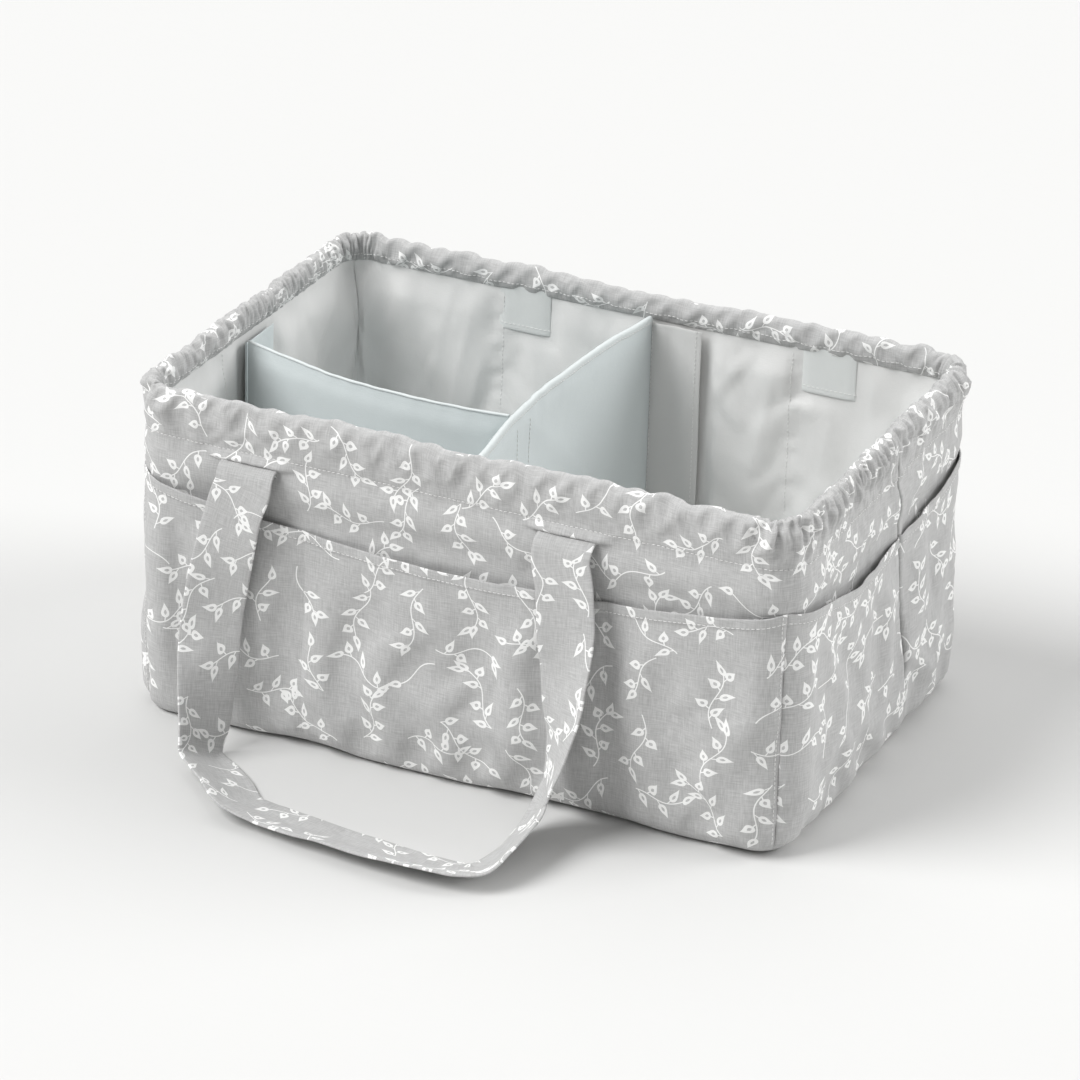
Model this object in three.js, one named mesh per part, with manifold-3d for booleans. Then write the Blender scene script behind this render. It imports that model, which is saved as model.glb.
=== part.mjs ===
import * as THREE from "three";
import ManifoldModule from "manifold-3d";

// Fabric caddy: an open cloth box stiffened with boards, pockets round the outside, a gathered
// elastic rim, two loop handles and two lift-out dividers held by hook-and-loop tape.
// Millimetres, +Z up, front towards -Y, standing on Z = 0 with the origin under the middle.

const { Manifold, Mesh: SolidMesh } = await loadSolids();

// Overall sizes
const LENGTH = 395;
const DEPTH = 257;
const HEIGHT = 202;
const CORNER = 22;
const CORNER_STEPS = 6;

// Cloth, boards and the clearance left at every seam
const CLEARANCE = 0.3;
const SHELL = 1.2;
const BOARD = 3;
const LINING = 0.8;
const WALL = SHELL + BOARD + LINING + 2 * CLEARANCE;
const BASE_ROUND = 8;
const BASE_THICKNESS = SHELL + BOARD + LINING + 2 * CLEARANCE;

// Gathered rim casing and the elastic inside it
const CASING = 1;
const CASING_OUTSIDE = 28;
const CASING_INSIDE = 16;
const END_GATHER = 1.5;
const END_GATHER_PITCH = 9;
const LONG_GATHER = 0.6;
const LONG_GATHER_PITCH = 24;
const ELASTIC_WIDTH = 8;
const ELASTIC = 1.5;
const WALL_TOP = HEIGHT - 12;
const CASING_BOTTOM = HEIGHT - CASING_OUTSIDE;
const CASING_INNER_BOTTOM = HEIGHT - CASING_INSIDE;

// Seams that join the two shell halves, measured from the middle of each end
const END_SEAM = 38;

// Outside pockets
const POCKET = 1;
const POCKET_HEM = 0.8;
const POCKET_HEM_HEIGHT = 12;
const POCKET_BOTTOM = 10;
const POCKET_HEIGHT = 147;
const POCKET_SAG_LONG = 17;
const POCKET_SAG_END = 14;
const POCKET_GAPE = 9;
const POCKET_FULL_HEIGHT = 46;
const POCKET_RAMP = 18;
const LONG_POCKET_SEAMS = [-91, 91];
const END_POCKET_SEAMS = [END_SEAM];

// Handles
const STRAP = 1.6;
const STRAP_WIDTH = 33;
const HANDLE_SPACING = LENGTH * 0.4836;
const FRONT_HANDLE_SHIFT = -LENGTH * 0.0709;
const BACK_HANDLE_SHIFT = -LENGTH * 0.0456;
const HINGE_DROP = 12;
const HINGE_OUT = 10;
const HINGE_HEIGHT = CASING_BOTTOM - CLEARANCE - STRAP / 2;
const LEG_OUT = CLEARANCE + POCKET_GAPE + POCKET + POCKET_HEM + STRAP / 2 + 0.8;
const FLOOR_REACH = 94;
const STRAP_STEPS = 72;
const PATCH = 0.8;
const PATCH_HEIGHT = 25;

// Dividers and their tapes
const DIVIDER_BOARD = 2.4;
const COVER = 0.8;
const DIVIDER = DIVIDER_BOARD + 2 * (COVER + CLEARANCE);
const DIVIDER_BOTTOM = BASE_THICKNESS + CLEARANCE;
const MAIN_TOP = HEIGHT - 13;
const CROSS_TOP = HEIGHT - 18;
const MAIN_X = 4;
const MAIN_BOW = 8.5;
const CROSS_LEFT_Y = -13;
const CROSS_MAIN_Y = -38;
const CROSS_BOW = 12;
const BOW_STEPS = 14;
const LOOP_TAPE = 1.3;
const HOOK_TAPE = 1;
const TAPE_WIDTH = 20;
const FLAP = 0.8;
const FLAP_WIDTH = 32;
const FLAP_TOP = CASING_INNER_BOTTOM - 5;
const TAPE_TOP = FLAP_TOP - 6;
const TAPE_BOTTOM = DIVIDER_BOTTOM + 8;
const LOOP_OUT = CLEARANCE + LOOP_TAPE;
const HOOK_OUT = LOOP_OUT + CLEARANCE + HOOK_TAPE;
const FLAP_OUT = HOOK_OUT + CLEARANCE + FLAP;

// Materials
const printedCotton = cloth(0xb8b9ba);
const liningNylon = cloth(0xe1e4e6);
const dividerCloth = cloth(0xd3e0de);
const hookLoopTape = cloth(0xf2f2f0);
const elasticBand = cloth(0xf6f4ee);
const stiffBoard = new THREE.MeshStandardMaterial({ color: 0xd8d2c4, roughness: 0.8 });

function cloth(color) {
  return new THREE.MeshStandardMaterial({ color, roughness: 0.95 });
}

async function loadSolids() {
  const library = await ManifoldModule();
  library.setup();
  return library;
}

// Plan outline: the four sides in travel order, anticlockwise seen from above
const HALF_LONG = LENGTH / 2 - CORNER;
const HALF_SHORT = DEPTH / 2 - CORNER;
const QUARTER = (Math.PI * CORNER) / 2;
const PERIMETER = 4 * (HALF_LONG + HALF_SHORT + QUARTER);
const FRONT = { half: HALF_LONG, reach: DEPTH / 2, turn: 0, middle: 0 };
const RIGHT = {
  half: HALF_SHORT,
  reach: LENGTH / 2,
  turn: Math.PI / 2,
  middle: PERIMETER / 4,
};
const BACK = { half: HALF_LONG, reach: DEPTH / 2, turn: Math.PI, middle: PERIMETER / 2 };
const LEFT = {
  half: HALF_SHORT,
  reach: LENGTH / 2,
  turn: -Math.PI / 2,
  middle: (PERIMETER * 3) / 4,
};
const SIDES = [FRONT, RIGHT, BACK, LEFT];
const UP = new THREE.Vector3(0, 0, 1);

// Side that a distance round the outline falls on, and the distance from that side's middle
function sideAt(distance) {
  for (const side of SIDES) {
    const lap = Math.round((distance - side.middle) / PERIMETER) * PERIMETER;
    const along = distance - side.middle - lap;
    if (Math.abs(along) <= side.half + QUARTER / 2 + 1e-6) {
      return { side, along };
    }
  }
  throw new Error("no side at this distance");
}

// Upright frame on the outline: u points outwards, v points up
function outlineFrame(distance) {
  const { side, along } = sideAt(distance);
  const past = Math.max(Math.abs(along) - side.half, 0);
  const angle = (Math.sign(along) * past) / CORNER;
  const out = new THREE.Vector3(Math.sin(angle), -Math.cos(angle), 0);
  const flat = THREE.MathUtils.clamp(along, -side.half, side.half);
  const point = new THREE.Vector3(flat, CORNER - side.reach, 0).addScaledVector(out, CORNER);
  point.applyAxisAngle(UP, side.turn);
  out.applyAxisAngle(UP, side.turn);
  return { distance, point, u: out, v: UP };
}

// Stops along the outline: every corner in even steps, flats no further apart than the pitch
function outlineFrames(from, to, pitch, marks = []) {
  const stops = [from, to, ...marks];
  for (const side of SIDES) {
    for (const lap of [-PERIMETER, 0, PERIMETER]) {
      stops.push(side.middle - side.half + lap, side.middle + side.half + lap);
    }
  }
  const inside = stops.filter((stop) => stop >= from - 1e-6 && stop <= to + 1e-6);
  inside.sort((first, second) => first - second);
  const frames = [outlineFrame(inside[0])];
  for (let index = 1; index < inside.length; index += 1) {
    const span = inside[index] - inside[index - 1];
    if (span < 1e-3) {
      continue;
    }
    const { side, along } = sideAt(inside[index] - span / 2);
    const step = Math.abs(along) > side.half ? QUARTER / CORNER_STEPS : pitch;
    const parts = Math.max(1, Math.round(span / step));
    for (let part = 1; part <= parts; part += 1) {
      frames.push(outlineFrame(inside[index - 1] + (span * part) / parts));
    }
  }
  return frames;
}

// Solid swept through frames. The section lists [u, v] corners, anticlockwise with u to the right.
function sweep(frames, sectionAt, looped = false) {
  const sections = frames.map((frame, index) => sectionAt(frame, index));
  const corners = sections[0].length;
  const positions = [];
  frames.forEach((frame, index) => {
    for (const [across, rise] of sections[index]) {
      const point = frame.point.clone();
      point.addScaledVector(frame.u, across).addScaledVector(frame.v, rise);
      positions.push(point.x, point.y, point.z);
    }
  });
  const faces = [];
  const spans = looped ? frames.length : frames.length - 1;
  for (let row = 0; row < spans; row += 1) {
    const start = row * corners;
    const next = ((row + 1) % frames.length) * corners;
    for (let corner = 0; corner < corners; corner += 1) {
      const beside = (corner + 1) % corners;
      faces.push(start + corner, next + corner, next + beside);
      faces.push(start + corner, next + beside, start + beside);
    }
  }
  if (!looped) {
    const last = (frames.length - 1) * corners;
    for (const [a, b, c] of capFaces(sections[0])) {
      faces.push(a, b, c);
    }
    for (const [a, b, c] of capFaces(sections[frames.length - 1])) {
      faces.push(last + a, last + c, last + b);
    }
  }
  const geometry = new THREE.BufferGeometry();
  geometry.setAttribute("position", new THREE.Float32BufferAttribute(positions, 3));
  geometry.setIndex(faces);
  return geometry;
}

function capFaces(section) {
  const contour = section.map(([across, rise]) => new THREE.Vector2(across, rise));
  return THREE.ShapeUtils.triangulateShape(contour, []);
}

function rectangle(inner, outer, bottom, top) {
  return [
    [inner, bottom],
    [outer, bottom],
    [outer, top],
    [inner, top],
  ];
}

// Flat plate on a side: along the side, outwards from the shell face, and in height
function platesOn(side, along, out, height) {
  const geometry = new THREE.BoxGeometry(
    along[1] - along[0],
    out[1] - out[0],
    height[1] - height[0],
  );
  const middle = (pair) => (pair[0] + pair[1]) / 2;
  geometry.translate(middle(along), -side.reach - middle(out), middle(height));
  return geometry.rotateZ(side.turn);
}

// Flat plate on the floor inside the outline, set in from the shell face
function floorPlate(inset, bottom, thickness) {
  const frames = outlineFrames(0, PERIMETER, PERIMETER).slice(1);
  const points = frames.map(({ point, u }) => point.clone().addScaledVector(u, -inset));
  const shape = new THREE.Shape(points.map(({ x, y }) => new THREE.Vector2(x, y)));
  const geometry = new THREE.ExtrudeGeometry(shape, { depth: thickness, bevelEnabled: false });
  return geometry.translate(0, 0, bottom);
}

// Outer shell: two halves that curl under at the floor
function shellHalf(end) {
  const inner = BASE_ROUND - SHELL;
  const slope = Math.SQRT1_2;
  const section = [
    [-BASE_ROUND, 0],
    [-BASE_ROUND * (1 - slope), BASE_ROUND * (1 - slope)],
    [0, BASE_ROUND],
    [0, WALL_TOP],
    [-SHELL, WALL_TOP],
    [-SHELL, BASE_ROUND],
    [-BASE_ROUND + inner * slope, BASE_ROUND - inner * slope],
    [-BASE_ROUND, SHELL],
  ];
  const from = end - PERIMETER / 2 + CLEARANCE / 2;
  const to = end - CLEARANCE / 2;
  return sweep(outlineFrames(from, to, PERIMETER), () => section);
}

function liningPanel(side) {
  const reach = side.half + QUARTER / 2 - CLEARANCE / 2;
  const frames = outlineFrames(side.middle - reach, side.middle + reach, PERIMETER);
  const section = rectangle(-WALL, LINING - WALL, BASE_THICKNESS - LINING, WALL_TOP);
  return sweep(frames, () => section);
}

function wallBoard(side) {
  const out = [-SHELL - CLEARANCE - BOARD, -SHELL - CLEARANCE];
  return platesOn(side, [-side.half, side.half], out, [BASE_ROUND, WALL_TOP]);
}

// Pocket panel: tight to the shell at its seams and floor, standing off between them
function pocketPanel(side, divisions, sag) {
  const reach = side.half + QUARTER / 2 - CLEARANCE / 2;
  const seams = [-reach, ...divisions, reach];
  const marks = [];
  for (const seam of seams) {
    marks.push(seam - POCKET_RAMP, seam - POCKET_RAMP / 2, seam);
    marks.push(seam + POCKET_RAMP / 2, seam + POCKET_RAMP);
  }
  const from = side.middle - reach;
  const to = side.middle + reach;
  const placed = marks.map((mark) => side.middle + mark);
  const frames = outlineFrames(from, to, POCKET_RAMP, placed);
  return sweep(frames, ({ distance }) => {
    const along = distance - side.middle;
    const toSeam = Math.min(...seams.map((seam) => Math.abs(along - seam)));
    const gape = POCKET_GAPE * THREE.MathUtils.smoothstep(toSeam, 0, POCKET_RAMP);
    const edge = POCKET_HEIGHT - sag * (1 - (along / reach) ** 2);
    const middle = (POCKET_BOTTOM + POCKET_FULL_HEIGHT) / 2;
    const full = CLEARANCE + gape;
    const half = CLEARANCE + gape * 0.65;
    const hem = edge - POCKET_HEM_HEIGHT;
    return [
      [CLEARANCE, POCKET_BOTTOM],
      [CLEARANCE + POCKET, POCKET_BOTTOM],
      [half + POCKET, middle],
      [full + POCKET, POCKET_FULL_HEIGHT],
      [full + POCKET, hem],
      [full + POCKET + POCKET_HEM, hem],
      [full + POCKET + POCKET_HEM, edge],
      [full, edge],
      [full, POCKET_FULL_HEIGHT],
      [half, middle],
    ];
  });
}

// Rim casing half: a cloth tunnel over the wall top, pleated hardest round the ends
function casingHalf(end) {
  const from = end - PERIMETER / 2 + CLEARANCE / 2;
  const to = end - CLEARANCE / 2;
  const marks = [];
  for (const side of [RIGHT, LEFT]) {
    const step = END_GATHER_PITCH / 2;
    for (const lap of [-PERIMETER, 0, PERIMETER]) {
      for (let along = step - side.half; along < side.half; along += step) {
        marks.push(side.middle + along + lap);
      }
    }
  }
  const frames = outlineFrames(from, to, LONG_GATHER_PITCH / 2, marks);
  return sweep(frames, ({ distance }, index) => {
    const { side, along } = sideAt(distance);
    const plain = side.half === HALF_LONG && Math.abs(along) < side.half;
    const pleat = (index % 2) * (plain ? LONG_GATHER : END_GATHER);
    return casingSection(pleat);
  });
}

function casingSection(pleat) {
  const centre = -WALL / 2;
  const inner = WALL / 2 + CLEARANCE;
  const outer = inner + CASING;
  const arch = HEIGHT - outer - END_GATHER;
  const slope = Math.SQRT1_2;
  return [
    [centre + inner, CASING_BOTTOM],
    [centre + outer + pleat / 2, CASING_BOTTOM],
    [centre + outer + pleat, (CASING_BOTTOM + arch) / 2],
    [centre + outer + pleat, arch],
    [centre + outer * slope + pleat, arch + outer * slope + pleat / 2],
    [centre, arch + outer + pleat],
    [centre - outer * slope, arch + outer * slope + pleat / 2],
    [centre - outer, arch],
    [centre - outer, CASING_INNER_BOTTOM],
    [centre - inner, CASING_INNER_BOTTOM],
    [centre - inner, arch],
    [centre - inner * slope, arch + inner * slope],
    [centre, arch + inner],
    [centre + inner * slope, arch + inner * slope],
    [centre + inner, arch],
  ];
}

function rimElastic() {
  const frames = outlineFrames(0, PERIMETER, PERIMETER).slice(1);
  const bottom = WALL_TOP + CLEARANCE;
  const middle = -WALL / 2;
  const half = ELASTIC / 2;
  const section = rectangle(middle - half, middle + half, bottom, bottom + ELASTIC_WIDTH);
  return sweep(frames, () => section, true);
}

// Strap: leaves the casing seam, hangs outside the pockets and lies in a loop on the floor.
// Each stop gives [along the side, out from the shell, height] and the way across the strap.
function handleStrap(side, shift) {
  const left = shift - HANDLE_SPACING / 2;
  const right = shift + HANDLE_SPACING / 2;
  const low = HINGE_HEIGHT * 0.3;
  const flat = STRAP / 2 + 3 * CLEARANCE;
  const stops = [
    { at: [left, HINGE_OUT, HINGE_HEIGHT], across: [1, 0, 0] },
    { at: [left, HINGE_OUT + 0.4, HINGE_HEIGHT - HINGE_DROP], across: [1, 0, 0] },
    { at: [left - 5, LEG_OUT, POCKET_HEIGHT - 1], across: [1, 0, 0.12] },
    { at: [left - 15, LEG_OUT + 1.5, HINGE_HEIGHT * 0.55], across: [1, 0, 0.15] },
    { at: [left - 20, LEG_OUT + 3, low], across: [1, 0, 0.1] },
    { at: [left - 18, LEG_OUT + 10, low * 0.45], across: [1, -0.1, 0] },
    { at: [left - 6, FLOOR_REACH * 0.39, 5.5], across: [0.9, -0.35, 0] },
    { at: [left + HANDLE_SPACING * 0.136, FLOOR_REACH * 0.66, flat], across: [0.6, -0.8, 0] },
    { at: [left + HANDLE_SPACING * 0.365, FLOOR_REACH * 0.93, flat], across: [0.3, -0.95, 0] },
    { at: [left + HANDLE_SPACING * 0.668, FLOOR_REACH + 2, 4.5], across: [0, -1, -0.14] },
    { at: [right - 3, FLOOR_REACH, 11.5], across: [-0.5, -0.6, -0.6] },
    { at: [right + 4, FLOOR_REACH * 0.6, 13.2], across: [-0.75, -0.35, -0.58] },
    { at: [right + 8, LEG_OUT + 15, low * 0.5], across: [-0.75, -0.35, -0.5] },
    { at: [right + 9, LEG_OUT + 4.5, low], across: [-0.9, -0.2, -0.2] },
    { at: [right + 5, LEG_OUT + 1.5, HINGE_HEIGHT * 0.6], across: [-1, 0, 0] },
    { at: [right + 3, LEG_OUT, POCKET_HEIGHT - 1], across: [-1, 0, 0] },
    { at: [right, HINGE_OUT + 0.4, HINGE_HEIGHT - HINGE_DROP], across: [-1, 0, 0] },
    { at: [right, HINGE_OUT, HINGE_HEIGHT], across: [-1, 0, 0] },
  ];
  const points = stops.map(({ at }) => new THREE.Vector3(at[0], -side.reach - at[1], at[2]));
  const route = new THREE.CatmullRomCurve3(points, false, "centripetal");
  const frames = [];
  for (let step = 0; step <= STRAP_STEPS; step += 1) {
    const share = step / STRAP_STEPS;
    const place = share * (stops.length - 1);
    const first = Math.min(Math.floor(place), stops.length - 2);
    const before = new THREE.Vector3(...stops[first].across);
    const after = new THREE.Vector3(...stops[first + 1].across);
    const across = before.lerp(after, place - first);
    across.y = -across.y;
    const ahead = route.getTangent(share);
    across.addScaledVector(ahead, -across.dot(ahead)).normalize();
    const face = new THREE.Vector3().crossVectors(ahead, across);
    frames.push({ point: route.getPoint(share), u: face, v: across });
  }
  const half = STRAP_WIDTH / 2;
  const section = rectangle(-STRAP / 2, STRAP / 2, -half, half);
  return sweep(frames, () => section).rotateZ(side.turn);
}

function handleEnd(side, along) {
  const half = STRAP_WIDTH / 2;
  const out = [CLEARANCE, HINGE_OUT - STRAP / 2 - 0.4];
  const height = [HINGE_HEIGHT - STRAP / 2, HINGE_HEIGHT + STRAP / 2];
  return platesOn(side, [along - half, along + half], out, height);
}

function liningPatch(side, along) {
  const half = STRAP_WIDTH / 2;
  const out = [-WALL - CLEARANCE - PATCH, -WALL - CLEARANCE];
  const top = CASING_INNER_BOTTOM - 1;
  return platesOn(side, [along - half, along + half], out, [top - PATCH_HEIGHT, top]);
}

// Upright arc between two plan points, bowed to the right of travel
function bowedLine(start, end, bow) {
  const chord = end.clone().sub(start);
  const half = chord.length() / 2;
  const radius = (half * half + bow * bow) / (2 * bow);
  const ahead = chord.clone().normalize();
  const right = new THREE.Vector2(ahead.y, -ahead.x);
  const centre = start.clone().add(end).multiplyScalar(0.5).addScaledVector(right, bow - radius);
  const reach = radius * Math.asin(half / radius);
  const frameAt = (distance) => {
    const angle = distance / radius;
    const out = right.clone().multiplyScalar(Math.cos(angle));
    out.addScaledVector(ahead, Math.sin(angle));
    const point = centre.clone().addScaledVector(out, radius);
    return {
      distance,
      point: new THREE.Vector3(point.x, point.y, 0),
      u: new THREE.Vector3(out.x, out.y, 0),
      v: UP,
    };
  };
  return { reach, radius, frameAt };
}

function bowFrames(line, from, to) {
  const frames = [];
  for (let step = 0; step <= BOW_STEPS; step += 1) {
    frames.push(line.frameAt(from + ((to - from) * step) / BOW_STEPS));
  }
  return frames;
}

// Divider cover: a cloth sleeve with a rounded top, open at the floor for its board
function dividerCover(line, top) {
  const half = DIVIDER / 2;
  const soft = COVER * 1.5;
  const outside = [
    [-half, DIVIDER_BOTTOM],
    [half, DIVIDER_BOTTOM],
    [half, top - soft],
    [half - soft, top],
    [soft - half, top],
    [-half, top - soft],
  ];
  const room = DIVIDER_BOARD / 2 + CLEARANCE;
  const hollow = rectangle(-room, room, DIVIDER_BOTTOM - 1, top - COVER);
  const sleeve = sweep(bowFrames(line, -line.reach, line.reach), () => outside);
  const inside = line.reach - COVER;
  const space = sweep(bowFrames(line, -inside, inside), () => hollow);
  return cutAway(sleeve, space);
}

function dividerBoard(line, top) {
  const half = DIVIDER_BOARD / 2;
  const reach = line.reach - COVER - CLEARANCE;
  const section = rectangle(-half, half, DIVIDER_BOTTOM, top - COVER - CLEARANCE);
  return sweep(bowFrames(line, -reach, reach), () => section);
}

function cutAway(whole, removed) {
  const solid = toSolid(whole).subtract(toSolid(removed));
  const { vertProperties, triVerts, numProp } = solid.getMesh();
  const geometry = new THREE.BufferGeometry();
  const buffer = new THREE.InterleavedBuffer(vertProperties, numProp);
  geometry.setAttribute("position", new THREE.InterleavedBufferAttribute(buffer, 3, 0));
  geometry.setIndex(new THREE.BufferAttribute(triVerts, 1));
  return geometry;
}

function toSolid(geometry) {
  const vertProperties = new Float32Array(geometry.attributes.position.array);
  const triVerts = new Uint32Array(geometry.index.array);
  return new Manifold(new SolidMesh({ numProp: 3, vertProperties, triVerts }));
}

// Strip lying along the bowed face of the main divider
function stripOnBow(line, middle, width, out, height) {
  const frames = bowFrames(line, middle - width / 2, middle + width / 2);
  return sweep(frames, () => rectangle(out[0], out[1], height[0], height[1]));
}

// Assembly
const caddy = new THREE.Group();
caddy.name = "diaper_caddy";

function add(name, geometry, material) {
  geometry.computeVertexNormals();
  const mesh = new THREE.Mesh(geometry, material);
  mesh.name = name;
  caddy.add(mesh);
}

const endSeam = RIGHT.middle + END_SEAM;
add("outer_front_shell", shellHalf(endSeam), printedCotton);
add("outer_back_shell", shellHalf(endSeam + PERIMETER / 2), printedCotton);
add("outer_base_panel", floorPlate(BASE_ROUND + CLEARANCE, 0, SHELL), printedCotton);
add("base_board", floorPlate(BASE_ROUND + CLEARANCE, SHELL + CLEARANCE, BOARD), stiffBoard);
add("lining_base", floorPlate(WALL + CLEARANCE, BASE_THICKNESS - LINING, LINING), liningNylon);

const walls = [
  { name: "front", side: FRONT, seams: LONG_POCKET_SEAMS, sag: POCKET_SAG_LONG },
  { name: "back", side: BACK, seams: LONG_POCKET_SEAMS, sag: POCKET_SAG_LONG },
  { name: "left", side: LEFT, seams: END_POCKET_SEAMS, sag: POCKET_SAG_END },
  { name: "right", side: RIGHT, seams: END_POCKET_SEAMS, sag: POCKET_SAG_END },
];
for (const { name, side, seams, sag } of walls) {
  add(`${name}_board`, wallBoard(side), stiffBoard);
  add(`lining_${name}`, liningPanel(side), liningNylon);
  add(`${name}_pocket_panel`, pocketPanel(side, seams, sag), printedCotton);
}

add("front_rim_casing", casingHalf(endSeam), printedCotton);
add("back_rim_casing", casingHalf(endSeam + PERIMETER / 2), printedCotton);
add("rim_elastic", rimElastic(), elasticBand);

const handles = [
  { name: "front", side: FRONT, shift: FRONT_HANDLE_SHIFT },
  { name: "back", side: BACK, shift: BACK_HANDLE_SHIFT },
];
for (const { name, side, shift } of handles) {
  add(`${name}_handle_strap`, handleStrap(side, shift), printedCotton);
  for (const [hand, half] of [["left", -1], ["right", 1]]) {
    const along = shift + (half * HANDLE_SPACING) / 2;
    add(`${name}_handle_${hand}_end`, handleEnd(side, along), printedCotton);
    add(`${name}_${hand}_patch`, liningPatch(side, along), dividerCloth);
  }
}

// Gap that keeps the slanted end of a bowed divider off its flap
function buttGap(bow, drop, span) {
  const slope = (4 * bow + Math.abs(drop)) / span;
  return CLEARANCE + DIVIDER * 0.55 * slope;
}

// Main divider: runs from the back wall to the front wall, bowed to the left
const mainSpan = DEPTH - 2 * (WALL + FLAP_OUT);
const mainEnd = mainSpan / 2 - buttGap(MAIN_BOW, 0, mainSpan);
const mainLine = bowedLine(
  new THREE.Vector2(MAIN_X, mainEnd),
  new THREE.Vector2(MAIN_X, -mainEnd),
  MAIN_BOW,
);
add("main_divider_cover", dividerCover(mainLine, MAIN_TOP), dividerCloth);
add("main_divider_board", dividerBoard(mainLine, MAIN_TOP), stiffBoard);

// Flap, hook tape and loop tape on a wall, from the divider outwards along the wall
function wallJoint(divider, wall, side, along) {
  const flap = [along[0] - DIVIDER / 2, along[0] + FLAP_WIDTH];
  const tape = [flap[1] - TAPE_WIDTH - 4, flap[1] - 4];
  const layer = (outer, thickness) => [-WALL - outer, -WALL - outer + thickness];
  const turned = (span) => (along[1] > 0 ? span : [2 * along[0] - span[1], 2 * along[0] - span[0]]);
  const height = [DIVIDER_BOTTOM, FLAP_TOP];
  const tapeHeight = [TAPE_BOTTOM, TAPE_TOP];
  const flapPlate = platesOn(side, turned(flap), layer(FLAP_OUT, FLAP), height);
  const hookPlate = platesOn(side, turned(tape), layer(HOOK_OUT, HOOK_TAPE), tapeHeight);
  const loopPlate = platesOn(side, turned(tape), layer(LOOP_OUT, LOOP_TAPE), tapeHeight);
  const place = divider === "main_divider" ? wall : "wall";
  add(`${divider}_${place}_flap`, flapPlate, liningNylon);
  add(`${divider}_${place}_hook_tape`, hookPlate, hookLoopTape);
  add(`${wall}_wall_loop_tape`, loopPlate, hookLoopTape);
}
wallJoint("main_divider", "back", BACK, [-MAIN_X, -1]);
wallJoint("main_divider", "front", FRONT, [MAIN_X, 1]);

// Cross divider: runs from the left wall to the main divider, bowed to the front
const meet = mainLine.radius * Math.asin(-CROSS_MAIN_Y / mainLine.radius);
const meetFrame = mainLine.frameAt(meet);
const crossDrop = CROSS_MAIN_Y - CROSS_LEFT_Y;
const crossGap = buttGap(CROSS_BOW, crossDrop, LENGTH / 2 - WALL - 2 * FLAP_OUT);
const crossOut = DIVIDER / 2 + FLAP_OUT + crossGap;
const crossEnd = meetFrame.point.clone().addScaledVector(meetFrame.u, crossOut);
const crossStart = WALL + FLAP_OUT + crossGap - LENGTH / 2;
const crossLine = bowedLine(
  new THREE.Vector2(crossStart, CROSS_LEFT_Y),
  new THREE.Vector2(crossEnd.x, crossEnd.y),
  CROSS_BOW,
);
add("cross_divider_cover", dividerCover(crossLine, CROSS_TOP), dividerCloth);
add("cross_divider_board", dividerBoard(crossLine, CROSS_TOP), stiffBoard);
wallJoint("cross_divider", "left", LEFT, [-CROSS_LEFT_Y, -1]);

const tapeHeight = [TAPE_BOTTOM, TAPE_TOP];
const layerOnMain = (outer, thickness) => [DIVIDER / 2 + outer - thickness, DIVIDER / 2 + outer];
const mainLoop = stripOnBow(mainLine, meet, TAPE_WIDTH, layerOnMain(LOOP_OUT, LOOP_TAPE), tapeHeight);
const crossHook = stripOnBow(mainLine, meet, TAPE_WIDTH, layerOnMain(HOOK_OUT, HOOK_TAPE), tapeHeight);
const crossFlap = stripOnBow(mainLine, meet, 2 * FLAP_WIDTH, layerOnMain(FLAP_OUT, FLAP), [
  DIVIDER_BOTTOM,
  FLAP_TOP,
]);
add("main_divider_loop_tape", mainLoop, hookLoopTape);
add("cross_divider_main_hook_tape", crossHook, hookLoopTape);
add("cross_divider_main_flap", crossFlap, liningNylon);

export default caddy;
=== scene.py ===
"""Cloth, lining, dividers and handles of a fabric diaper caddy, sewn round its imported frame.

Metres, +Z up, front towards -Y. Distances round the box run anticlockwise from the middle of the front wall.
"""

import math

import bpy
import numpy as np
from bpy.props import FloatProperty, FloatVectorProperty, PointerProperty
from bpy.types import Operator, Panel, PropertyGroup
from mathutils import Matrix, Vector


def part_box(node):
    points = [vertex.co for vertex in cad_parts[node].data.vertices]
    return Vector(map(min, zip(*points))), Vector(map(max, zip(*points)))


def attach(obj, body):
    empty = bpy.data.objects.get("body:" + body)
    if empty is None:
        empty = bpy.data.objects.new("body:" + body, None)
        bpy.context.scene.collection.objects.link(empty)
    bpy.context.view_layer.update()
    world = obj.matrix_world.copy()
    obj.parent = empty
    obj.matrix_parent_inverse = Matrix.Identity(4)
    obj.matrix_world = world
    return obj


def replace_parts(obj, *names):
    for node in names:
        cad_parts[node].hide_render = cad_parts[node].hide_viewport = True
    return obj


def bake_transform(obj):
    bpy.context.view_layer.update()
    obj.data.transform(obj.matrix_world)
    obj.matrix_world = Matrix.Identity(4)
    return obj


bl_info = {
    "name": "Fabric Diaper Caddy",
    "version": (1, 0, 0),
    "blender": (4, 5, 0),
    "location": "View3D > Sidebar > Caddy",
    "description": "Sews the cloth, lining, dividers and handles of a diaper caddy",
    "category": "Object",
}

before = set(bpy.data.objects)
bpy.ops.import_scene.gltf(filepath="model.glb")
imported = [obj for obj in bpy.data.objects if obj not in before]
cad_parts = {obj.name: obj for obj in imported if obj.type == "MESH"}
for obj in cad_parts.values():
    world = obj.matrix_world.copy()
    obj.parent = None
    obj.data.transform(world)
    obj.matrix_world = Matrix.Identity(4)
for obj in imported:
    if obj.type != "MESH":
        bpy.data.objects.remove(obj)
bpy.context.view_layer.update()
SHELL_LOW, SHELL_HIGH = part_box("outer_front_shell")

CLOTH_MAP = "cloth"
# Point attribute holding the painted shade of the seams, from 0 to 1
SEAM_SHADE_MARK = "seam"
SIDES = ("front", "right", "back", "left")
LONG_SIDES = ("front", "back")
TINY = 1e-12


def size(name, description, default):
    """Length property in metres."""
    return FloatProperty(
        name=name, description=description, default=default, min=0.0, unit="LENGTH", precision=4
    )


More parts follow.
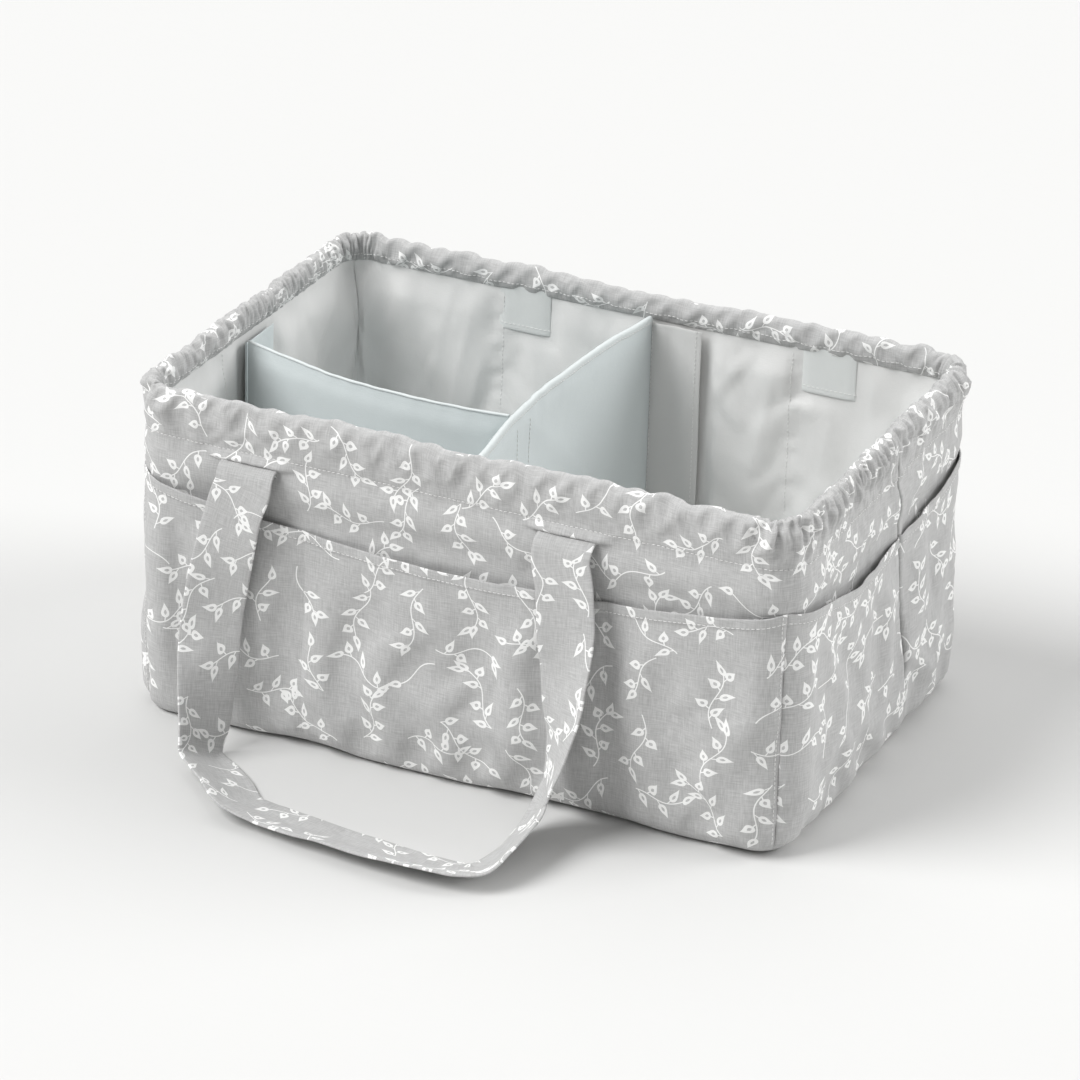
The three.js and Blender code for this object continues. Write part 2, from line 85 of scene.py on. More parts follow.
def dye(name, description, default):
    """Colour property."""
    return FloatVectorProperty(
        name=name, description=description, default=default, subtype="COLOR", min=0.0, max=1.0
    )


def fullness(name, description, default):
    """Share of extra cloth."""
    return FloatProperty(
        name=name, description=description, default=default, min=0.0, max=0.6, subtype="FACTOR"
    )


def strength(name, description, default):
    """Power of a light."""
    return FloatProperty(name=name, description=description, default=default, min=0.0)


class CaddySizes(PropertyGroup):
    """Sizes of the sewn caddy."""

    length: size("Length", "Outside length of the box", SHELL_HIGH.x - SHELL_LOW.x)
    depth: size("Depth", "Outside depth of the box", -2 * SHELL_LOW.y)
    corner: size("Corner radius", "Radius of the upright corners", 0.022)
    wall: size("Wall", "Shell, board and lining together", 0.0056)
    pocket_height: size("Pocket height", "Height of the pockets at the corners", 0.147)
    pocket_sag_long: size("Long pocket sag", "Dip of the hem on the long walls", 0.017)
    pocket_sag_end: size("End pocket sag", "Dip of the hem on the short ends", 0.014)
    strap_width: size("Strap width", "Width of the handle straps", 0.033)
    handle_spacing: size("Handle spacing", "Between the two ends of a handle", 0.191)
    end_gather: fullness("End gather", "Extra cloth in the rim of the short ends", 0.24)
    corner_gather: fullness("Corner gather", "Further cloth in the rim at the corners", 0.18)
    long_gather: fullness("Long gather", "Extra cloth in the rim of the long walls", 0.024)


class CaddyDyes(PropertyGroup):
    """Colours of the cloths and threads."""

    cotton: dye("Cotton", "Grey of the melange cotton", (0.50, 0.50, 0.497))
    leaf: dye("Leaf print", "White of the printed sprigs", (0.95, 0.95, 0.94))
    lining: dye("Lining", "Pale smooth lining", (0.77, 0.77, 0.76))
    divider: dye("Divider", "Pale mint divider cloth", (0.66, 0.715, 0.72))
    patch: dye("Patch", "Paler mint of the strap patches", (0.755, 0.775, 0.765))
    binding: dye("Binding", "Pale edge of the dividers", (0.69, 0.735, 0.735))
    thread: dye("Thread", "White sewing thread", (0.88, 0.88, 0.87))
    floor: dye("Floor", "Plain pale floor", (0.68, 0.68, 0.673))


class CaddyLight(PropertyGroup):
    """Strength of the studio light."""

    sky: strength("Sky", "Even light from all round", 0.38)
    key: strength("Key", "Soft light from the left", 2.55)
    side: strength("Side", "Softer light from the right and behind", 1.6)
    top: strength("Top", "Soft light from above", 0.65)


# Shapes of cloth


def smooth_step(low, high, value):
    """Rises from 0 at low to 1 at high without a kink."""
    share = np.clip((value - low) / (high - low), 0, 1)
    return share * share * (3 - 2 * share)


def plateau(rise, fall, value):
    """1 from the second stop of rise to the first of fall, running out smoothly to 0 on both sides."""
    return smooth_step(*rise, value) * (1 - smooth_step(*fall, value))


def bell(value, width):
    """1 at zero, falling smoothly to 0 on both sides."""
    return np.exp(-((value / width) ** 2))


def unit(vectors):
    """Vectors drawn to a length of one."""
    return vectors / np.maximum(np.linalg.norm(vectors, axis=-1, keepdims=True), TINY)


def spaced(start, end, pitch):
    """Even stops between two ends, about a pitch apart."""
    return np.linspace(start, end, max(2, round(abs(end - start) / pitch) + 1))


def nearest(along, seams):
    """Distance to the nearest of several seams."""
    return np.min([np.abs(along - seam) for seam in seams], axis=0)


def lengths_along(places):
    """Length gone from the first place to each."""
    return np.concatenate([[0], np.cumsum(np.linalg.norm(np.diff(places, axis=0), axis=1))])


def between(wanted, stops, values):
    """Rows of values at wanted places between the stops."""
    return np.stack([np.interp(wanted, stops, column) for column in values.T], -1)


def cloth_grid(surface, along, up):
    """Grid of places on a surface."""
    across, rise = np.meshgrid(along, up)
    return surface(across, rise), np.stack([across, rise], -1)


def cloth_noise(x, y, seed):
    """Smooth unevenness between -1 and 1, the same on every run."""
    x, y = np.broadcast_arrays(np.asarray(x, float), np.asarray(y, float))
    table = np.random.default_rng(seed).uniform(-1, 1, (256, 256))
    left, low = np.floor(x).astype(int), np.floor(y).astype(int)
    across, up = x - left, y - low
    across = across**3 * (across * (across * 6 - 15) + 10)
    up = up**3 * (up * (up * 6 - 15) + 10)

    def knot(right, above):
        return table[(left + right) % 256, (low + above) % 256]

    bottom = knot(0, 0) * (1 - across) + knot(1, 0) * across
    top = knot(0, 1) * (1 - across) + knot(1, 1) * across
    return bottom * (1 - up) + top * up


def long_folds(x, y, lean, width, length, seed):
    """Folds that run at an angle: lean is the angle from upright in radians."""
    across = x * math.cos(lean) + y * math.sin(lean)
    along = y * math.cos(lean) - x * math.sin(lean)
    return cloth_noise(across / width, along / length, seed)


def creases(x, y, lean, width, length, sharp, seed):
    """Thin lines at an angle, 1 along each crease and 0 away from it."""
    return np.clip(1 - np.abs(long_folds(x, y, lean, width, length, seed)) / sharp, 0, 1)


def raised_folds(x, y, folds):
    """Folds that all stand up from the cloth; each is a height, lean, width, length and seed."""
    return sum(tall * np.abs(long_folds(x, y, *fold)) for tall, *fold in folds)


THREAD_SPANS = ((0, 1), (1, 0), (1, 1), (1, -1), (0, 2), (2, 0), (0, 4), (4, 0))
THREAD_PULL = 0.9
BIAS_PULL = 0.35
CARRY_ON = 0.9
UNREST = 0.0012
SHORTEST = 1e-9


def thread_ends(rows, columns):
    """Both ends of every thread in sets that share no end: neighbours, bias and long stiff spans."""
    for down, along in THREAD_SPANS:
        span = max(down, abs(along))
        for turn in (0, 1):
            row = np.arange(rows - down)
            column = np.arange(max(0, -along), columns - max(0, along))
            if down:
                row = row[row // span % 2 == turn]
            else:
                column = column[column // span % 2 == turn]
            near, far = np.ix_(row, column), np.ix_(row + down, column + along)
            yield span > 1, down and along, near, far


def settle(start, fuller, held, low, high, bend, weight, seed, rounds=150):
    """Folds of a sheet that is cut fuller than its place.

    Threads keep their cut length, held points stay, and the others may stand off the start between
    low and high along its normal. fuller is the cut length over the room across and up the sheet.
    """
    shape = start.shape[:2]
    across, bend = np.broadcast_to(fuller[0], shape), np.broadcast_to(bend, shape)
    free = np.where(held, 0.0, 1.0)
    normal = grid_normals(start)
    unrest = np.random.default_rng(seed).normal(0, UNREST, shape)
    for axis in (0, 1):
        unrest = unrest / 2 + (np.roll(unrest, 1, axis) + np.roll(unrest, -1, axis)) / 4
    places = start + normal * (unrest * free)[..., None]
    pulls = []
    for stiff, bias, near, far in thread_ends(*shape):
        gap = start[far] - start[near]
        wide = gap[..., 0] * (across[near] + across[far]) / 2
        tall = np.linalg.norm(gap[..., 1:], axis=-1) * fuller[1]
        share = (bend[near] + bend[far]) / 2 if stiff else BIAS_PULL if bias else THREAD_PULL
        share = share / np.maximum(free[near] + free[far], 1.0)
        pulls.append((stiff, near, far, np.hypot(wide, tall), share * free[near], share * free[far]))
    before = places.copy()
    for _ in range(rounds):
        carried = (places - before) * (CARRY_ON * free)[..., None]
        before = places.copy()
        places += carried
        places[..., 2] -= weight * free
        for stiff, near, far, length, pull_near, pull_far in pulls:
            gap = places[far] - places[near]
            span = np.maximum(np.linalg.norm(gap, axis=-1), SHORTEST)
            slack = (span - length) / span
            if stiff:
                slack = np.minimum(slack, 0)
            places[near] += gap * (slack * pull_near)[..., None]
            places[far] -= gap * (slack * pull_far)[..., None]
        pulls.reverse()
        lift = ((places - start) * normal).sum(-1)
        places += normal * (np.clip(lift, low, high) - lift)[..., None]
    return places


class Sheet:
    """Settled cloth that gives the place of any point between its knots."""

    def __init__(self, along, up, places):
        self.along = along
        self.up = up
        self.places = places

    def __call__(self, along, up):
        along, up = np.broadcast_arrays(along, up)
        columns = self.knots(self.along, along)
        place = 0
        for row, row_share in self.knots(self.up, up):
            for column, column_share in columns:
                place = place + self.places[row, column] * (row_share * column_share)[..., None]
        return place

    def knots(self, stops, wanted):
        """Four knots round each wanted stop, with the share that each has in it."""
        at = np.interp(wanted, stops, np.arange(len(stops)))
        first = np.clip(np.floor(at).astype(int), 0, len(stops) - 2)
        t = at - first
        shares = (
            ((2 - t) * t - 1) * t / 2,
            ((3 * t - 5) * t * t + 2) / 2,
            ((4 - 3 * t) * t + 1) * t / 2,
            (t - 1) * t * t / 2,
        )
        return [(np.clip(first + step - 1, 0, len(stops) - 1), share) for step, share in enumerate(shares)]


class WallLine:
    """Outside line of the box seen from above."""

    def __init__(self, sizes):
        self.depth = sizes.depth
        self.corner = sizes.corner
        self.half_long = sizes.length / 2 - sizes.corner
        self.half_short = sizes.depth / 2 - sizes.corner
        self.quarter = math.pi / 2 * sizes.corner
        ends = [self.quarter, 2 * self.half_short, self.quarter]
        self.runs = [self.half_long, *ends, 2 * self.half_long, *ends, self.half_long]
        self.perimeter = sum(self.runs)

    def middle(self, side):
        """Distance to the middle of a side."""
        return SIDES.index(side) * self.perimeter / 4

    def half(self, side):
        """Half the straight part of a side."""
        return self.half_long if side in LONG_SIDES else self.half_short

    def walk(self, distance):
        """Place and outward direction, seen from above, at each distance."""
        distance = np.mod(np.asarray(distance, float), self.perimeter)
        place = np.zeros(distance.shape + (2,))
        outward = np.zeros_like(place)
        start, heading, at = 0.0, 0.0, np.array([0.0, -self.depth / 2])
        for index, run in enumerate(self.runs):
            inside = (distance >= start) & (distance <= start + run)
            gone = distance[inside] - start
            ahead = np.array([math.cos(heading), math.sin(heading)])
            if index % 2:
                centre = at + self.corner * np.array([-ahead[1], ahead[0]])
                angle = heading + gone / self.corner
                away = np.stack([np.sin(angle), -np.cos(angle)], -1)
                place[inside] = centre + self.corner * away
                outward[inside] = away
                heading += math.pi / 2
                at = centre + self.corner * np.array([math.sin(heading), -math.cos(heading)])
            else:
                place[inside] = at + gone[:, None] * ahead
                outward[inside] = (ahead[1], -ahead[0])
                at = at + run * ahead
            start += run
        return place, outward

    def stand(self, distance, out, height):
        """Points that stand off the line by out, at a height."""
        distance, out, height = np.broadcast_arrays(distance, out, height)
        place, outward = self.walk(distance)
        flat = place + outward * out[..., None]
        return np.concatenate([flat, height[..., None]], -1)

    def past(self, distance, place, laps=1):
        """Distance past the nearer of the places that come laps times round the box."""
        lap = self.perimeter / laps
        return np.mod(distance - place + lap / 2, lap) - lap / 2

    def seam_away(self, distance):
        """Distance past the nearer end seam, where the two halves of the shell are joined."""
        return self.past(distance, self.middle("right") + END_SEAM, 2)

    def lean(self, distance, height):
        """How far the cloth of the short ends is drawn round, so that the end seams lean."""
        return SEAM_LEAN * (SEAM_LEVEL - height) * bell(self.seam_away(distance), SEAM_LEAN_REACH)

    def into_long_wall(self, distance):
        """How far a place is past the corner on a long wall; below zero on the short ends."""
        return self.half_long - np.abs(self.past(distance, 0, 2))


def grid_normals(points):
    """Directions out of the face of a grid of places."""
    return unit(np.cross(np.gradient(points, axis=1), np.gradient(points, axis=0)))


def grid_edge(rows, columns):
    """Border of a grid as row and column numbers, anticlockwise seen from its face."""
    right = np.arange(columns)
    up = np.arange(rows)
    row = np.concatenate([0 * right[:-1], up[:-1], 0 * right[:-1] + rows - 1, up[:0:-1]])
    column = np.concatenate([right[:-1], 0 * up[:-1] + columns - 1, right[:0:-1], 0 * up[:-1]])
    return row, column


def sew(name, points, cloth, thickness, place_on_cloth, centred=False, round_rows=1, seam=None):
    """Closed piece from a grid of places, its second layer behind the face and its edge rounded.

    seam is the painted seam shade at each place, from 0 to 1, kept in a point attribute that darkens the
    cotton there.
    """
    rows, columns = points.shape[:2]
    normal = grid_normals(points)
    thickness = np.broadcast_to(thickness, (rows, columns))
    face = points + normal * thickness[..., None] / 2 if centred else points
    behind = face - normal * thickness[..., None]
    row, column = grid_edge(rows, columns)
    sideways = np.zeros_like(points)
    sideways[0] += points[0] - points[1]
    sideways[-1] += points[-1] - points[-2]
    sideways[:, 0] += points[:, 0] - points[:, 1]
    sideways[:, -1] += points[:, -1] - points[:, -2]
    away = unit(sideways[row, column])
    radius = thickness[row, column][:, None] / 2
    core = (face[row, column] + behind[row, column]) / 2
    count = rows * columns
    numbers = np.arange(count).reshape(rows, columns)
    rings = [numbers[row, column]]
    vertices = [face.reshape(-1, 3), behind.reshape(-1, 3)]
    border_map = place_on_cloth[row, column]
    maps = [place_on_cloth.reshape(-1, 2)] * 2
    for step in range(round_rows):
        angle = math.pi * (step + 1) / (round_rows + 1)
        ring = core + radius * (away * math.sin(angle) + normal[row, column] * math.cos(angle))
        rings.append(2 * count + step * len(row) + np.arange(len(row)))
        vertices.append(ring)
        maps.append(border_map)
    rings.append(count + numbers[row, column])
    front = np.stack([numbers[:-1, :-1], numbers[:-1, 1:], numbers[1:, 1:], numbers[1:, :-1]], -1)
    faces = [front.reshape(-1, 4), front.reshape(-1, 4)[:, ::-1] + count]
    for near, far in zip(rings[:-1], rings[1:]):
        faces.append(np.stack([near, far, np.roll(far, -1), np.roll(near, -1)], -1))
    faces = np.concatenate(faces).tolist()
    piece = make_object(name, np.concatenate(vertices), faces, cloth, np.concatenate(maps))
    if seam is not None:
        # Painted seam shade for both layers and the rounded edge
        depth = np.concatenate([seam.ravel()] * 2 + [seam[row, column]] * round_rows)
        painted_shade = piece.data.attributes.new(SEAM_SHADE_MARK, "FLOAT", "POINT")
        painted_shade.data.foreach_set("value", depth.astype(np.float32))
    return piece


def make_object(name, vertices, faces, material, cloth_map=None):
    """Smooth mesh object; cloth_map has its places on the cloth, for a UV map."""
    mesh = bpy.data.meshes.new(name)
    mesh.from_pydata(vertices.tolist(), [], faces)
    if cloth_map is not None:
        loops = np.empty(len(mesh.loops), np.int32)
        mesh.loops.foreach_get("vertex_index", loops)
        layer = mesh.uv_layers.new(name=CLOTH_MAP)
        layer.data.foreach_set("uv", cloth_map[loops].astype(np.float32).ravel())
    mesh.polygons.foreach_set("use_smooth", np.ones(len(mesh.polygons), bool))
    mesh.materials.append(material)
    mesh.update()
    piece = bpy.data.objects.new(name, mesh)
    bpy.context.scene.collection.objects.link(piece)
    return piece


def on_cloth(surface, along, up, step=0.0004):
    """Places on a surface and the directions out of it."""
    along, up = np.broadcast_arrays(np.asarray(along, float), np.asarray(up, float))
    ahead = surface(along + step, up) - surface(along - step, up)
    rise = surface(along, up + step) - surface(along, up - step)
    return surface(along, up), unit(np.cross(ahead, rise))


STITCH_LENGTH = 0.0021
STITCH_PITCH = 0.0028
STITCH_RADIUS = 0.0002
STITCH_SIDES = 5
STITCH_AHEAD = 0.0008
# Rings of a stitch: place along it as a share of its length, then width and lift as shares of its radius
STITCH_RINGS = np.array(
    [
        (-0.5, 0.25, -0.5),
        (-0.38, 0.8, 0.2),
        (-0.15, 1.0, 0.7),
        (0.15, 1.0, 0.7),
        (0.38, 0.8, 0.2),
        (0.5, 0.25, -0.5),
    ]
)


def stitch_beads(rows):
    """Vertices and faces of running stitches along rows of places and directions."""
    centres, aheads, ups = [], [], []
    for places, normals in rows:
        gone = lengths_along(places)
        at = np.arange(STITCH_PITCH / 2, gone[-1], STITCH_PITCH)
        centres.append(between(at, gone, places))
        aheads.append(between(at + STITCH_AHEAD, gone, places) - between(at - STITCH_AHEAD, gone, places))
        ups.append(between(at, gone, normals))
    centre = np.concatenate(centres)
    ahead = unit(np.concatenate(aheads))
    beside = unit(np.cross(np.concatenate(ups), ahead))
    up = np.cross(ahead, beside)
    shares, widths, lifts = (STITCH_RINGS * (STITCH_LENGTH, STITCH_RADIUS, STITCH_RADIUS)).T
    turn = np.arange(STITCH_SIDES) * 2 * math.pi / STITCH_SIDES
    forward = np.repeat(shares, STITCH_SIDES)
    sideways = (widths[:, None] * np.cos(turn)).ravel()
    upward = (widths[:, None] * np.sin(turn) + lifts[:, None]).ravel()
    vertices = (
        centre[:, None]
        + ahead[:, None] * forward[None, :, None]
        + beside[:, None] * sideways[None, :, None]
        + up[:, None] * upward[None, :, None]
    )
    rings = len(STITCH_RINGS)
    each = rings * STITCH_SIDES
    ring = np.arange(each).reshape(rings, STITCH_SIDES)
    later = np.roll(ring, -1, axis=1)
    quads = np.stack([ring[:-1], later[:-1], later[1:], ring[1:]], -1).reshape(-1, 4)
    starts = np.arange(len(centre)) * each
    faces = (quads[None] + starts[:, None, None]).reshape(-1, 4).tolist()
    for start in starts:
        faces.append((start + ring[0, ::-1]).tolist())
        faces.append((start + ring[-1]).tolist())
    return vertices.reshape(-1, 3), faces


def stitch(name, rows, body="caddy", thread="white_thread"):
    """Thread along rows of places, riding on a body."""
    piece = make_object(name, *stitch_beads(rows), material_named(thread))
    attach(piece, body)


# Finishes


def fill_inputs(tree, node, inputs):
    """Link each input that is given a socket and set the others."""
    for name, value in inputs.items():
        if isinstance(value, bpy.types.NodeSocket):
            tree.links.new(value, node.inputs[name])
        else:
            node.inputs[name].default_value = value


def add_node(tree, kind, inputs=None, **settings):
    """New node with its settings and inputs."""
    node = tree.nodes.new(kind)
    for name, value in settings.items():
        setattr(node, name, value)
    fill_inputs(tree, node, inputs or {})
    return node


def reckon(tree, operation, *values, clamp=False):
    """Result of a maths node."""
    inputs = dict(enumerate(values))
    return add_node(tree, "ShaderNodeMath", inputs, operation=operation, use_clamp=clamp).outputs[0]


def reckon_vector(tree, operation, *values):
    """Result of a vector maths node."""
    inputs = dict(enumerate(values))
    return add_node(tree, "ShaderNodeVectorMath", inputs, operation=operation).outputs[0]


# Sprig print: lengths in millimetres on the cloth, but the cell in metres and the nudge in cells
SPRIG_CELL = 0.034
SPRIG_NUDGE = (0.5, 0.5, 0.0)
SPRIG_SHORTEST = 12.0
SPRIG_LONGER = 7.0
SWAY_RATE = 0.17
SWAY_START = 6.28
SWAY_WIDTH = 3.0
STEM_HALF = 0.34
LEAF_PITCH = 11.0
LEAF_START = 2.4
LEAF_SIZE = (8.4, 2.35)
LEAF_LEAN = (0.55, 0.55)
LEAF_LEFT_OUT = 0.22
STALK_HALF = 0.30
STALK_END = 2.7
TIP_SIZE = (8.8, 2.3)
INK_BORDER = 0.16
# Leaf outline as shares of its length and width
LEAF_BEND = -0.55
LEAF_FOOT_ROUND = 0.6
LEAF_TIP_DRAWN = 1.5
LEAF_BELLY = 3.5
EYE_PLACE = (2.9, -0.50)
EYE_BELLY = 1.35
EYE_CLEAR = 0.9


def inked(tree, distance):
    """1 where distance into a printed shape is positive, with a soft border."""
    return reckon(tree, "MULTIPLY_ADD", distance, 1 / INK_BORDER, 0.5, clamp=True)


def leaf_shape(tree, along, across, length, width):
    """Printed leaf with a drawn-out bent tip and a small eye; along runs from its foot."""
    share = reckon(tree, "DIVIDE", along, length, clamp=True)
    rest = reckon(tree, "SUBTRACT", 1.0, share)
    squared = reckon(tree, "MULTIPLY", share, share)
    bent = reckon(tree, "MULTIPLY_ADD", squared, LEAF_BEND * width, across)
    foot = reckon(tree, "POWER", share, LEAF_FOOT_ROUND)
    tip = reckon(tree, "POWER", rest, LEAF_TIP_DRAWN)
    belly = reckon(tree, "MULTIPLY", reckon(tree, "MULTIPLY", foot, tip), LEAF_BELLY * width)
    aside = reckon(tree, "ABSOLUTE", bent)
    on_leaf = reckon(tree, "GREATER_THAN", reckon(tree, "MULTIPLY", share, rest), 0.0)
    outer = inked(tree, reckon(tree, "SUBTRACT", belly, aside))
    outer = reckon(tree, "MULTIPLY", outer, on_leaf)
    eye_share = reckon(tree, "MULTIPLY_ADD", share, *EYE_PLACE)
    eye_rest = reckon(tree, "SUBTRACT", 1.0, eye_share)
    eye = reckon(tree, "MULTIPLY", reckon(tree, "MULTIPLY", eye_share, eye_rest), EYE_BELLY * width)
    inner = inked(tree, reckon(tree, "SUBTRACT", eye, aside))
    return reckon(tree, "SUBTRACT", outer, reckon(tree, "MULTIPLY", inner, EYE_CLEAR), clamp=True)


def new_group(name, *places):
    """Node group that takes places and gives ink; gives the group and its inputs."""
    tree = bpy.data.node_groups.new(name, "ShaderNodeTree")
    for place in places:
        tree.interface.new_socket(place, in_out="INPUT", socket_type="NodeSocketVector")
    tree.interface.new_socket("Ink", in_out="OUTPUT", socket_type="NodeSocketFloat")
    return tree, add_node(tree, "NodeGroupInput").outputs


def white_noise(tree, place):
    """Chance that belongs to a place."""
    return add_node(tree, "ShaderNodeTexWhiteNoise", {"Vector": place}, noise_dimensions="3D").outputs


def sprig_group():
    """Node group that prints one sprig: a swaying stem with leaves in turn on both sides."""
    tree, given = new_group("leaf_sprig", "Place", "Cell")
    chance = white_noise(tree, given["Cell"])["Color"]
    first, second, third = add_node(tree, "ShaderNodeSeparateColor", {"Color": chance}).outputs
    centre = reckon_vector(tree, "ADD", given["Cell"], (0.5, 0.5, 0.0))
    nudge = reckon_vector(tree, "SUBTRACT", chance, (0.5, 0.5, 0.5))
    nudge = reckon_vector(tree, "MULTIPLY", nudge, SPRIG_NUDGE)
    offset = reckon_vector(tree, "SUBTRACT", given["Place"], centre)
    offset = reckon_vector(tree, "SUBTRACT", offset, nudge)
    offset = reckon_vector(tree, "MULTIPLY", offset, (SPRIG_CELL * 1000,) * 3)
    turned = add_node(
        tree,
        "ShaderNodeVectorRotate",
        {"Vector": offset, "Angle": reckon(tree, "MULTIPLY", first, 2 * math.pi)},
        rotation_type="Z_AXIS",
    )
    x, y, _ = add_node(tree, "ShaderNodeSeparateXYZ", {"Vector": turned.outputs[0]}).outputs
    sway = reckon(tree, "MULTIPLY_ADD", x, SWAY_RATE, reckon(tree, "MULTIPLY", second, SWAY_START))
    y = reckon(tree, "SUBTRACT", y, reckon(tree, "MULTIPLY", reckon(tree, "SINE", sway), SWAY_WIDTH))
    half = reckon(tree, "MULTIPLY_ADD", third, SPRIG_LONGER, SPRIG_SHORTEST)
    along = reckon(tree, "ABSOLUTE", x)
    aside = reckon(tree, "ABSOLUTE", y)
    on_stem = inked(tree, reckon(tree, "SUBTRACT", half, along))
    stem = reckon(tree, "MULTIPLY", inked(tree, reckon(tree, "SUBTRACT", STEM_HALF, aside)), on_stem)
    below = reckon(tree, "LESS_THAN", y, 0.0)
    walk = reckon(tree, "MULTIPLY_ADD", below, LEAF_PITCH / 2, x)
    walk = reckon(tree, "MULTIPLY_ADD", second, LEAF_PITCH, walk)
    turn = reckon(tree, "FLOOR", reckon(tree, "DIVIDE", walk, LEAF_PITCH))
    gone = reckon(tree, "SUBTRACT", walk, reckon(tree, "MULTIPLY", turn, LEAF_PITCH))
    foot = reckon(tree, "SUBTRACT", x, gone)
    marks = add_node(tree, "ShaderNodeCombineXYZ", {0: turn, 1: below, 2: first}).outputs[0]
    leaf_chance = white_noise(tree, marks)["Value"]
    lean = reckon(tree, "MULTIPLY_ADD", leaf_chance, *LEAF_LEAN)
    cosine, sine = reckon(tree, "COSINE", lean), reckon(tree, "SINE", lean)
    outward = reckon(tree, "MULTIPLY_ADD", gone, cosine, reckon(tree, "MULTIPLY", aside, sine))
    across = reckon(tree, "MULTIPLY", aside, cosine)
    across = reckon(tree, "SUBTRACT", across, reckon(tree, "MULTIPLY", gone, sine))
    leaf = leaf_shape(tree, reckon(tree, "SUBTRACT", outward, LEAF_START), across, *LEAF_SIZE)
    stalk = inked(tree, reckon(tree, "SUBTRACT", STALK_HALF, reckon(tree, "ABSOLUTE", across)))
    stalk = reckon(tree, "MULTIPLY", stalk, reckon(tree, "LESS_THAN", outward, STALK_END))
    leaf = reckon(tree, "MAXIMUM", leaf, stalk)
    kept = reckon(tree, "LESS_THAN", reckon(tree, "ABSOLUTE", foot), half)
    kept = reckon(tree, "MULTIPLY", kept, reckon(tree, "GREATER_THAN", leaf_chance, LEAF_LEFT_OUT))
    leaf = reckon(tree, "MULTIPLY", leaf, kept)
    tip = leaf_shape(tree, reckon(tree, "SUBTRACT", x, half), y, *TIP_SIZE)
    ink = reckon(tree, "MAXIMUM", reckon(tree, "MAXIMUM", stem, leaf), tip)
    add_node(tree, "NodeGroupOutput", {"Ink": ink})
    return tree


def print_group():
    """Node group that scatters sprigs over cloth; Place is in metres on the cloth."""
    sprig = sprig_group()
    tree, given = new_group("leaf_print", "Place")
    place = reckon_vector(tree, "MULTIPLY", given["Place"], (1 / SPRIG_CELL, 1 / SPRIG_CELL, 0.0))
    corner = reckon_vector(tree, "FLOOR", reckon_vector(tree, "SUBTRACT", place, (0.5, 0.5, 0.0)))
    ink = 0.0
    for right, above in ((0.0, 0.0), (0.0, 1.0), (1.0, 0.0), (1.0, 1.0)):
        cell = reckon_vector(tree, "ADD", corner, (right, above, 0.0))
        node = add_node(tree, "ShaderNodeGroup", {"Place": place, "Cell": cell}, node_tree=sprig)
        ink = reckon(tree, "MAXIMUM", ink, node.outputs[0])
    add_node(tree, "NodeGroupOutput", {"Ink": ink})
    return tree


def material_named(name):
    """Finish that has been mixed already."""
    material = bpy.data.materials.get(name)
    if material is None:
        raise RuntimeError(f"the finish {name} has not been mixed")
    return material


def new_finish(name):
    """Tree and shader of a new material."""
    material = bpy.data.materials.new(name)
    material.use_nodes = True
    tree = material.node_tree
    return tree, tree.nodes["Principled BSDF"]


def blend_colour(tree, share, low, high):
    """Colour between low and high, each a colour or a socket."""
    ends = [end if isinstance(end, bpy.types.NodeSocket) else (*end, 1.0) for end in (low, high)]
    inputs = {"Factor": share, 6: ends[0], 7: ends[1]}
    return add_node(tree, "ShaderNodeMix", inputs, data_type="RGBA").outputs[2]


def shade(colour, factor):
    """Colour made lighter or darker."""
    return tuple(min(1.0, channel * factor) for channel in colour)


def cloth_place(tree):
    """Place on the cloth, in metres."""
    return add_node(tree, "ShaderNodeUVMap", uv_map=CLOTH_MAP).outputs[0]


def uneven(tree, place, scale, detail, roughness):
    """Smooth unevenness from 0 to 1."""
    inputs = {"Vector": place, "Scale": scale, "Detail": detail, "Roughness": roughness}
    return add_node(tree, "ShaderNodeTexNoise", inputs).outputs[0]


def threads(tree, place, along, across, detail=2.0):
    """Uneven yarns: noise drawn out along one way of the cloth."""
    stretched = reckon_vector(tree, "MULTIPLY", place, (along, across, 1.0))
    return uneven(tree, stretched, 1.0, detail, 0.6)


def relief(tree, height, strength, distance):
    """Direction of the surface with a fine relief on it."""
    inputs = {"Height": height, "Strength": strength, "Distance": distance}
    return add_node(tree, "ShaderNodeBump", inputs).outputs[0]


# Yarns to the metre along and across the cloth, then cloudy unevenness to the metre
COTTON_YARN = (1700.0, 110.0)
COTTON_CLOUD = (35.0, 35.0)
SMOOTH_YARN = (2300.0, 240.0)
SMOOTH_CLOUD = (28.0, 28.0)
SMOOTH_CRUMPLE = (75.0, 75.0)


